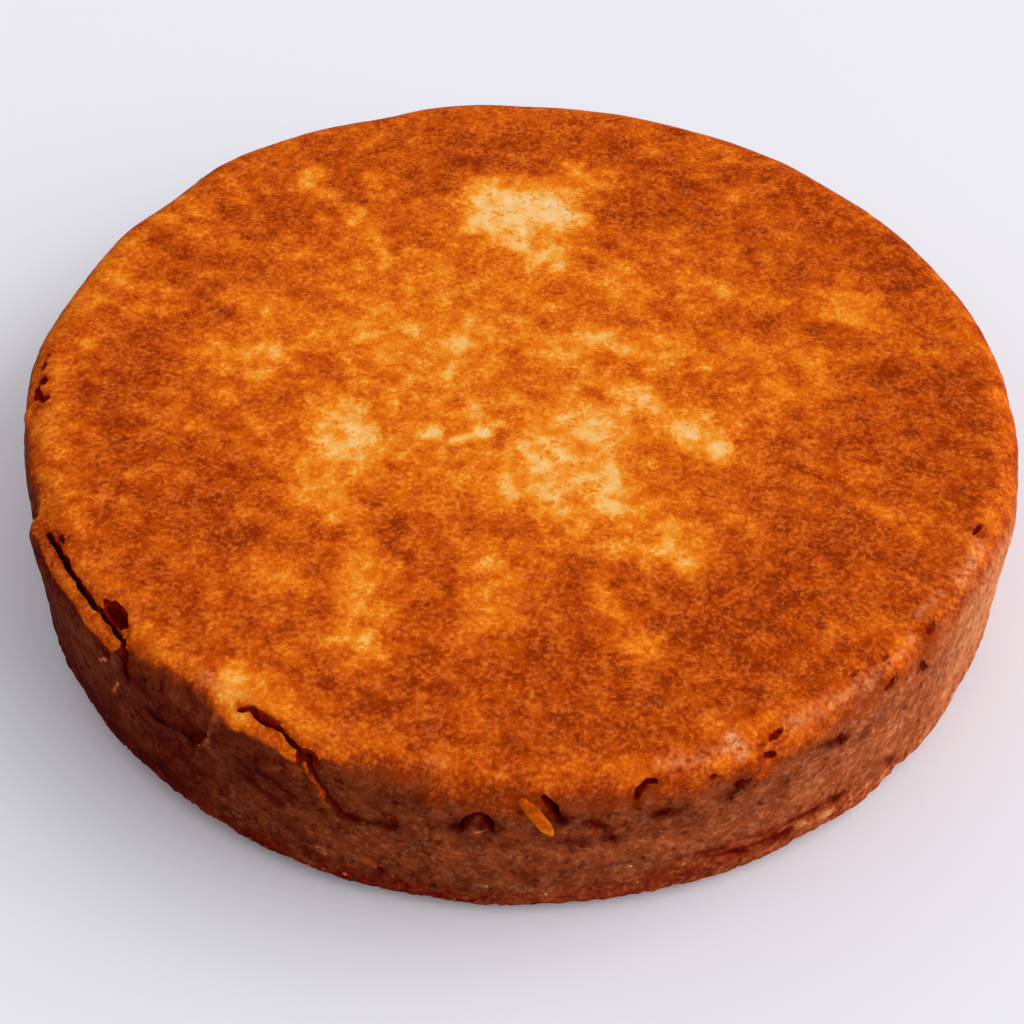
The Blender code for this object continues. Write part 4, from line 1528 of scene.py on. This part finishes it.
@dataclass
class CakeCrust:
    """The cake itself: one closed skin from the top's middle round to the underside."""

    rings: int = 84
    rows: int = 46
    top_grain: float = 0.10 * MM
    side_grain: float = 0.30 * MM
    foot_grain: float = 0.40 * MM
    base_notches: tuple[tuple[float, float, float], ...] = (
        (183.0, 5.0, 0.6), (260.0, 5.0, 0.30), (273.0, 1.5, 0.3), (283.5, 1.8, 0.6),
        (288.0, 2.0, 0.5), (305.0, 3.5, 0.3), (317.0, 2.5, 0.3), (325.0, 2.5, 0.3),
        (213.0, 12.0, 1.1), (232.0, 11.0, 0.7),
    )
    fuller_base: float = 0.35 * MM
    fuller_from: float = 244.0
    fuller_to: float = 336.0
    fuller_fade: float = 14.0
    sharp_angle: float = 48.0
    fine_zones: tuple[tuple[float, float, float, float], ...] = (
        (201.5, 229.0, 20.0, 41.0), (233.0, 261.0, 18.0, 41.0), (263.5, 276.5, 23.0, 37.5),
        (281.0, 286.5, 30.5, 38.0), (291.5, 299.5, 26.5, 39.3), (304.0, 307.0, 28.0, 32.0),
        (311.0, 322.5, 32.0, 39.2), (288.5, 310.5, 6.5, 14.5), (176.5, 187.0, 36.0, 40.0),
    )
    zone_top_inset: float = 15.0 * MM
    top_waves: Rows = ((0.5, 9.0, 20.0), (0.35, 4.0, 21.0), (0.45, 2.3, 22.0))
    side_waves: Rows = ((0.6, 6.0, 23.0), (0.6, 2.6, 24.0))
    side_squash: tuple[float, float, float] = (0.6, 0.6, 1.4)
    foot_reach: Range = (5.0 * MM, 13.0 * MM)
    notch_reach: Range = (2.0 * MM, 7.0 * MM)
    notch_broken: tuple[float, float] = (0.8, 0.5)
    notch_wave_length: float = 3.0 * MM
    side_slopes: Range = (15.0, 70.0)
    pale_bakes: Range = (0.12, 0.42)
    pale_sunk: float = 1.6
    pale_crests: float = 0.9
    side_crests: float = 0.5
    crest_level: float = 0.7
    foot_crest_level: float = 0.8
    crest_length: float = 2.6 * MM
    side_crest_length: float = 3.2 * MM
    flat_foot: float = 1.0 * MM
    browning: Browning = field(default_factory=Browning)

    def build(self) -> bpy.types.Object:
        """Model, cut and paint the crust.

        Returns:
            The finished piece.
        """
        piece = self.lattice()
        self.split_fine_zones(piece)
        self.bend(piece)
        self.cut(piece)
        self.paint(piece)
        piece.data.materials.clear()
        piece.data.materials.append(BakedCrust().make())
        return piece

    def lattice(self) -> bpy.types.Object:
        """A square grid with a skirt of rows drawn down from its rim, closed below.

        Returns:
            The lattice.
        """
        deselect_all()
        count = 2 * self.rings
        bpy.ops.mesh.primitive_grid_add(x_subdivisions=count, y_subdivisions=count, size=count)
        piece = take("cake_crust")
        bpy.ops.object.mode_set(mode="EDIT")
        bpy.ops.mesh.select_mode(type="EDGE")
        bpy.ops.mesh.select_all(action="DESELECT")
        bpy.ops.mesh.select_non_manifold()
        for _ in range(self.rows):
            bpy.ops.mesh.extrude_edges_move(TRANSFORM_OT_translate={"value": (0.0, 0.0, -1.0)})
        bpy.ops.mesh.edge_face_add()
        bpy.ops.mesh.select_all(action="SELECT")
        bpy.ops.mesh.normals_make_consistent(inside=False)
        bpy.ops.object.mode_set(mode="OBJECT")
        return piece

    def read(self, spots: np.ndarray) -> tuple[np.ndarray, np.ndarray]:
        """Turn spots of the lattice into angles and distances along the outline.

        Args:
            spots: Places in the lattice, one row for each.

        Returns:
            The angle in degrees, and the distance from the middle of the top.
        """
        across, deep, down = spots[:, 0], spots[:, 1], -spots[:, 2]
        ring = np.maximum(np.abs(across), np.abs(deep))
        safe = np.maximum(ring, 1e-9)
        upright = np.abs(across) >= np.abs(deep)
        side_turn = np.where(across > 0, 45.0 * deep / safe, 180.0 - 45.0 * deep / safe)
        end_turn = np.where(deep > 0, 90.0 - 45.0 * across / safe, 270.0 + 45.0 * across / safe)
        angle = np.where(upright, side_turn, end_turn) % 360.0
        along = ring / self.rings * FORM.flat_radius + down / self.rows * FORM.skirt
        return angle, along

    def split_fine_zones(self, piece: bpy.types.Object) -> None:
        """Halve the faces where crust is torn, so that the tears come out crisp.

        Args:
            piece: The piece.
        """
        mesh = piece.data
        count = len(mesh.polygons)
        flat = np.empty(count * 3)
        mesh.polygons.foreach_get("center", flat)
        angle, along = self.read(flat.reshape(-1, 3))
        inset, height, _ = FORM.outline(along)
        chosen = np.zeros(count, dtype=bool)
        for start, stop, low, high in self.fine_zones:
            near = (angle > start) & (angle < stop) & (inset < self.zone_top_inset)
            chosen |= near & (height > low * MM) & (height < high * MM)
        sides = np.empty(count, dtype=np.int32)
        mesh.polygons.foreach_get("loop_total", sides)
        chosen &= sides == 4
        pick(piece)
        bpy.ops.object.mode_set(mode="EDIT")
        bpy.ops.mesh.select_mode(type="FACE")
        bpy.ops.mesh.select_all(action="DESELECT")
        bpy.ops.object.mode_set(mode="OBJECT")
        mesh.polygons.foreach_set("select", chosen)
        bpy.ops.object.mode_set(mode="EDIT")
        bpy.ops.mesh.subdivide(number_cuts=1)
        bpy.ops.object.mode_set(mode="OBJECT")

    def bend(self, piece: bpy.types.Object) -> None:
        """Lay the lattice over the cake's skin and give it its relief.

        Args:
            piece: The piece.
        """
        angle, along = self.read(places_of(piece))
        inset, height, slope = FORM.outline(along)
        points = FORM.skin(angle, inset, height)
        out = FORM.normal(angle, slope)
        move_to(piece, points + out * self.relief(points, slope)[:, None])

    def relief(self, points: np.ndarray, slope: np.ndarray) -> np.ndarray:
        """Fine unevenness of the skin, in metres along its outward direction.

        Args:
            points: Places in metres, one row for each.
            slope: Slope of the skin's outward direction, in degrees.

        Returns:
            One height for each place.
        """
        side = 1.0 - smooth_step(slope, *self.side_slopes)
        pale = 1.0 - smooth_step(self.browning.bake(points), *self.pale_bakes)
        squashed = points * np.array(self.side_squash)
        fine = layered(points, self.top_waves)
        crests = ridges(points, self.crest_length, layer=27.0) - self.crest_level
        crumbly = self.pale_crests * crests - self.pale_sunk
        top = self.top_grain * (fine + pale * crumbly)
        crests = ridges(points, self.side_crest_length, layer=25.0) - self.crest_level
        rough = layered(squashed, self.side_waves) + self.side_crests * crests
        low = 1.0 - smooth_step(points[:, 2], *self.foot_reach)
        crests = ridges(points, self.crest_length, layer=26.0) - self.foot_crest_level
        crags = low * side * self.foot_grain * crests
        relief = top * (1.0 - side) + rough * self.side_grain * side + crags
        relief += self.lumps(points) - side * self.notches(points) + self.fuller(points, slope)
        return relief * smooth_step(points[:, 2], 0.0, self.flat_foot)

    def fuller(self, points: np.ndarray, slope: np.ndarray) -> np.ndarray:
        """How far the rounded base edge is filled out along the front and right, in metres.

        Args:
            points: Places in metres, one row for each.
            slope: Slope of the skin's outward direction, in degrees.

        Returns:
            One distance for each place.
        """
        angle = angle_of(points)
        rise = smooth_step(angle, self.fuller_from, self.fuller_from + self.fuller_fade)
        fall = smooth_step(angle, self.fuller_to - self.fuller_fade, self.fuller_to)
        under = np.sin(np.radians(np.clip(-2.0 * slope, 0.0, 180.0)))
        return self.fuller_base * rise * (1.0 - fall) * under

    def lumps(self, points: np.ndarray) -> np.ndarray:
        """How far the few larger lumps stand out, in metres.

        Args:
            points: Places in metres, one row for each.

        Returns:
            One distance for each place.
        """
        spots = self.browning.unrolled(points)
        total = np.zeros(len(points))
        for lump in LUMPS:
            away = spots - self.browning.unrolled_stop(lump.angle, lump.height)
            turn = math.radians(lump.tilt)
            run = away[:, 0] * math.cos(turn) - away[:, 1] * math.sin(turn)
            rise = away[:, 1] * math.cos(turn) + away[:, 0] * math.sin(turn)
            total += lump.through * np.exp(-((run / lump.across) ** 2) - (rise / lump.tall) ** 2)
        return total * MM

    def notches(self, points: np.ndarray) -> np.ndarray:
        """How far the base edge is drawn in where crumb is missing, in metres.

        Args:
            points: Places in metres, one row for each.

        Returns:
            One distance for each place.
        """
        angle = angle_of(points)
        depth = np.zeros(len(points))
        for middle, half_width, inwards in self.base_notches:
            depth += inwards * MM * np.exp(-((turn_between(angle, middle) / half_width) ** 2))
        steady, uneven = self.notch_broken
        broken = steady + uneven * grain(points, self.notch_wave_length, layer=28.0)
        return depth * broken * (1.0 - smooth_step(points[:, 2], *self.notch_reach))

    def cut(self, piece: bpy.types.Object) -> None:
        """Cut the cracks and pits out of the crust, one after another.

        Args:
            piece: The piece.
        """
        for tool in CutTools().make_all():
            pick(piece)
            joint = piece.modifiers.new(tool.name, "BOOLEAN")
            joint.operation = "DIFFERENCE"
            joint.object = tool
            joint.solver = "MANIFOLD"
            bpy.ops.object.modifier_apply(modifier=joint.name)
            mesh = tool.data
            bpy.data.objects.remove(tool)
            bpy.data.meshes.remove(mesh)
        bpy.ops.object.shade_smooth_by_angle(angle=math.radians(self.sharp_angle))

    def paint(self, piece: bpy.types.Object) -> None:
        """Store how each place of the skin is browned or torn, with its painted light and shade.

        Args:
            piece: The piece.
        """
        points = places_of(piece)
        browning = self.browning
        brown, lip = browning.brown(points), browning.lip(points)
        darker = browning.edge_darker * smooth_step(brown, *browning.edge_range)
        # Painted shade round cracks and pits darkens the crust near them.
        darker = (1.0 - lip) * (darker + browning.crack_shade_darker * browning.halo(points))
        darker += browning.lip_darker * lip + browning.painted(points, Paint.BAKE)
        write_field(piece, "bake", browning.bake(points) + darker)
        write_field(piece, "brown", brown)
        write_field(piece, "tone", browning.tone(points))
        write_field(piece, "foot", browning.foot(points))
        # Pale crumbs and painted sheen, from the strokes.
        write_field(piece, "bloom", browning.painted(points, Paint.BLOOM))
        write_field(piece, "torn", FORM.depth_of(points) / MM + browning.lip_torn * lip)


@dataclass
class HangingFlake:
    """The slim orange flake that hangs from the shoulder at the front."""

    blob: Blob = Blob(272.7, 30.9, 1.15, 5.2, 1.15, 31.0)
    tip_out: float = 0.8 * MM
    fullness: float = 0.6
    ragged: float = 0.15
    tip_range: Range = (-4.0 * MM, 5.0 * MM)
    crag_height: float = 0.26 * MM
    crag_length: float = 1.1 * MM
    mottle: float = 0.50
    gloss: float = 0.003
    tone: float = 0.42
    tip_paler: float = 0.28
    tone_wave: float = 0.20
    tone_wave_length: float = 1.6 * MM
    tones: Stops = (
        (0.00, (0.160, 0.0120, 0.0010)),
        (0.35, (0.340, 0.0420, 0.0015)),
        (0.60, (0.540, 0.0900, 0.0022)),
        (0.85, (0.720, 0.1900, 0.0120)),
    )

    def build(self) -> bpy.types.Object:
        """Model the flake.

        Returns:
            The finished piece.
        """
        piece = CutTools(ragged=self.ragged).pit("crust_flake", self.blob, 5)
        places = self.blunted(places_of(piece))
        middle = places.mean(axis=0)
        low = smooth_step(middle[2] - places[:, 2], *self.tip_range)
        out = unit_circle(self.blob.angle)
        places += out * (self.tip_out * low)[:, None]
        places += self.crag_height * grain(places, self.crag_length, layer=31.0)[:, None] * out
        move_to(piece, places)
        wave = self.tone_wave * grain(places, self.tone_wave_length, layer=32.0)
        write_field(piece, "tone", self.tone + self.tip_paler * low + wave)
        bpy.ops.object.shade_smooth()
        finish = LooseCrumb(tones=self.tones, mottle=self.mottle, gloss=self.gloss)
        piece.data.materials.append(finish.make("flake_crust"))
        return piece

    def blunted(self, places: np.ndarray) -> np.ndarray:
        """Widen the flake towards its ends, so that they are rounded rather than pointed.

        Args:
            places: The flake's vertices.

        Returns:
            The widened places.
        """
        middle = places.mean(axis=0)
        run = places[np.argmax(places[:, 2])] - middle
        length = np.linalg.norm(run)
        share = (places - middle) @ run / length**2
        axis = middle + share[:, None] * run
        wider = 1.0 + self.fullness * np.clip(np.abs(share), 0.0, 1.0) ** 2
        return axis + (places - axis) * wider[:, None]


@dataclass(frozen=True)
class Crumb:
    """One crumb on the side: angle, height and size in mm, and its tone."""

    angle: float
    height: float
    size: float
    tone: float


@dataclass
class BaseCrumbs:
    """Crumbs that cling to the lower side."""

    seed: int = 41
    scattered: int = 320
    shapes: int = 5
    band: Range = (1.2, 11.0)
    lower_crowd: float = 1.5
    sizes: Range = (0.4, 0.8)
    tones: Range = (0.02, 0.85)
    middling_tone: float = 0.28
    tone_spread: float = 0.16
    # Crumbs round shade_angle are darkened by up to this much: painted shade on the shaded left side.
    shade: float = 0.20
    shade_angle: float = 215.0
    shade_range: Range = (70.0, 25.0)
    squash: Range = (0.65, 1.0)
    lowest: float = 0.05 * MM
    craggy: float = 0.45
    crag_length: float = 0.9
    crag_step: float = 5.0
    fine_craggy: float = 0.25
    fine_crag_length: float = 0.35
    sunk: float = 0.40
    crust: CakeCrust = field(default_factory=CakeCrust)
    named: tuple[Crumb, ...] = tuple(Crumb(*row) for row in (
        (249.2, 6.8, 1.5, 0.45), (251.0, 10.4, 1.2, 0.80), (252.2, 7.4, 1.3, 0.20),
        (253.0, 5.2, 1.2, 0.55), (250.5, 4.6, 1.1, 0.30), (248.6, 3.6, 1.0, 0.60),
        (252.6, 2.9, 0.9, 0.45), (251.8, 11.6, 0.7, 0.70), (249.9, 8.6, 0.8, 0.25),
        (255.8, 11.8, 0.8, 0.70), (258.2, 8.4, 0.7, 0.60), (271.9, 9.0, 0.9, 0.75),
        (272.6, 7.6, 0.7, 0.80), (267.9, 9.1, 0.7, 0.70), (282.6, 12.6, 1.0, 0.80),
        (274.0, 6.6, 0.8, 0.75), (283.4, 7.6, 1.1, 0.40), (240.9, 10.8, 0.8, 0.45),
        (222.6, 32.8, 0.7, 0.85), (223.1, 31.4, 0.6, 0.90), (236.6, 26.6, 0.8, 0.70),
    ))

    def build(self) -> bpy.types.Object:
        """Model a few crumbs, copy them into place and join them.

        Returns:
            The finished piece.
        """
        draw = np.random.default_rng(self.seed)
        large = [self.shape(index, True) for index in range(self.shapes)]
        small = [self.shape(index, False) for index in range(self.shapes)]
        places, faces, tones = [], [], []
        count = 0
        for crumb in self.named + self.scatter(draw):
            shapes = large if crumb in self.named else small
            ball, sides = shapes[draw.integers(self.shapes)]
            angle, height = np.array([crumb.angle]), np.array([crumb.height * MM])
            sunk = unit_circle(crumb.angle) * crumb.size * self.sunk * MM
            skin = FORM.skin_at(angle, height)
            stand = self.crust.fuller(skin, FORM.slope_at(height)) - self.crust.notches(skin)
            centre = skin[0] + unit_circle(crumb.angle) * stand[0] - sunk
            turn = Matrix.Rotation(draw.uniform(0, math.tau), 3, Vector(draw.normal(size=3)))
            stretch = draw.uniform(*self.squash, 3) * crumb.size / 2.0 * MM
            made = (ball * stretch) @ np.array(turn).T + centre
            made[:, 2] = np.maximum(made[:, 2], self.lowest)
            places.append(made)
            faces.extend([[corner + count for corner in side] for side in sides])
            tones.append(np.full(len(ball), crumb.tone))
            count += len(ball)
        mesh = bpy.data.meshes.new("base_crumbs")
        mesh.from_pydata(np.concatenate(places).tolist(), [], faces)
        piece = bpy.data.objects.new("base_crumbs", mesh)
        bpy.context.scene.collection.objects.link(piece)
        write_field(piece, "tone", np.concatenate(tones))
        mesh.shade_smooth()
        mesh.materials.append(LooseCrumb().make("crumb"))
        return piece

    def shape(self, index: int, large: bool) -> tuple[np.ndarray, list[list[int]]]:
        """Model one craggy crumb.

        Args:
            index: Which of the shapes it is.
            large: Whether it is one of the few large crumbs, with more faces.

        Returns:
            Its places and its faces.
        """
        deselect_all()
        if large:
            bpy.ops.mesh.primitive_ico_sphere_add(subdivisions=3, radius=1.0)
        else:
            bpy.ops.mesh.primitive_uv_sphere_add(segments=7, ring_count=5, radius=1.0)
        piece = take(f"crumb_{index}")
        ball = places_of(piece)
        crags = grain(ball + self.crag_step * index, self.crag_length, layer=40.0)
        swell = 1.0 + self.craggy * crags + self.fine_craggy * grain(ball, self.fine_crag_length, index)
        faces = [list(face.vertices) for face in piece.data.polygons]
        mesh = piece.data
        bpy.data.objects.remove(piece)
        bpy.data.meshes.remove(mesh)
        return ball * swell[:, None], faces

    def scatter(self, draw: np.random.Generator) -> tuple[Crumb, ...]:
        """Small crumbs all round the base, thicker towards the bottom.

        Args:
            draw: The seeded draws.

        Returns:
            The crumbs.
        """
        crumbs = []
        low, high = self.band
        for _ in range(self.scattered):
            height = low + (high - low) * draw.uniform() ** self.lower_crowd
            size = draw.uniform(*self.sizes)
            angle = draw.uniform(0.0, 360.0)
            # Painted shade: crumbs near shade_angle are darker.
            away = abs(turn_between(angle, self.shade_angle))
            shade = self.shade * smooth_step(away, *self.shade_range)
            tone = draw.normal(self.middling_tone, self.tone_spread) - shade
            tone = np.clip(tone, *self.tones)
            crumbs.append(Crumb(angle, height, size, float(tone)))
        return tuple(crumbs)


# ---------------------------------------------------------------- the studio


@dataclass
class Studio:
    """Plain pale floor, soft light from the right, and the camera."""

    distance: float = 427.20 * MM
    elevation: float = 45.997
    target: tuple[float, float, float] = (-1.07 * MM, -11.19 * MM, 13.24 * MM)
    roll: float = 1.5186
    lens: float = 72.07
    sensor: float = 36.0
    floor_size: float = 6.0
    floor_colour: Colour = (0.73, 0.72, 0.765)
    floor_roughness: float = 0.7
    floor_gloss: float = 0.2
    window_azimuth: float = -6.0
    window_elevation: float = 38.0
    window_distance: float = 6.0
    window_width: float = 8.4
    window_height: float = 4.9
    window_power: float = 362.0
    sky: Colour = (0.72, 0.725, 0.75)

    def build(self) -> None:
        """Set up the floor, the light and the camera."""
        self.lay_floor()
        self.hang_light()
        self.place_camera()
        bpy.context.scene.view_settings.view_transform = "Standard"

    def lay_floor(self) -> None:
        """A plain pale floor under the cake."""
        deselect_all()
        bpy.ops.mesh.primitive_plane_add(size=self.floor_size)
        floor = take("floor")
        nodes = Nodes("pale_floor")
        nodes.shader.inputs["Base Color"].default_value = (*self.floor_colour, 1.0)
        nodes.shader.inputs["Roughness"].default_value = self.floor_roughness
        nodes.shader.inputs["Specular IOR Level"].default_value = self.floor_gloss
        floor.data.materials.append(nodes.material)

    def hang_light(self) -> None:
        """One broad soft light from the right, and an even pale sky."""
        turn, rise = math.radians(self.window_azimuth), math.radians(self.window_elevation)
        towards = Vector(
            (math.cos(turn) * math.cos(rise), math.sin(turn) * math.cos(rise), math.sin(rise))
        )
        data = bpy.data.lights.new("window", "AREA")
        data.shape = "RECTANGLE"
        data.size = self.window_width
        data.size_y = self.window_height
        data.energy = self.window_power
        lamp = bpy.data.objects.new("window", data)
        lamp.location = towards * self.window_distance
        lamp.rotation_euler = towards.to_track_quat("Z", "Y").to_euler()
        bpy.context.scene.collection.objects.link(lamp)
        world = bpy.data.worlds.new("sky")
        world.use_nodes = True
        world.node_tree.nodes["Background"].inputs["Color"].default_value = (*self.sky, 1.0)
        bpy.context.scene.world = world

    def place_camera(self) -> None:
        """The photograph's viewpoint."""
        rise, roll = math.radians(self.elevation), math.radians(self.roll)
        back = Vector((0.0, -math.cos(rise), math.sin(rise)))
        right = Vector((1.0, 0.0, 0.0))
        up = back.cross(right)
        turned_right = right * math.cos(roll) + up * math.sin(roll)
        turned_up = up * math.cos(roll) - right * math.sin(roll)
        data = bpy.data.cameras.new("camera")
        data.lens = self.lens
        data.sensor_width = self.sensor
        camera = bpy.data.objects.new("camera", data)
        axes = Matrix((turned_right, turned_up, back)).transposed().to_4x4()
        camera.matrix_world = Matrix.Translation(Vector(self.target) + back * self.distance) @ axes
        bpy.context.scene.collection.objects.link(camera)
        bpy.context.scene.camera = camera


# ---------------------------------------------------------------- putting it together


def fit_to_frame(pieces: list[bpy.types.Object]) -> None:
    """Centre the pieces on the CAD cake, and keep them inside its box.

    Args:
        pieces: The pieces, the crust first.
    """
    low, high = (np.array(corner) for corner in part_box(NODE))
    body = places_of(pieces[0])
    middle = (body.min(axis=0) + body.max(axis=0)) / 2.0
    shift = (low + high) / 2.0 - middle
    shift[2] = 0.0
    for piece in pieces:
        move_to(piece, np.clip(places_of(piece) + shift, low, high))


def main() -> None:
    """Load the frame and build everything in order."""
    logging.basicConfig(level=logging.INFO, format="%(message)s")
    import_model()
    studio = Studio()
    studio.build()
    pieces = [CakeCrust().build(), HangingFlake().build(), BaseCrumbs().build()]
    fit_to_frame(pieces)
    for piece in pieces:
        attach(piece, BODY)
        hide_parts(NODE)
        faces = sum(len(face.vertices) - 2 for face in piece.data.polygons)
        log.info("%s: %d triangles", piece.name, faces)


if __name__ == "__main__":
    main()
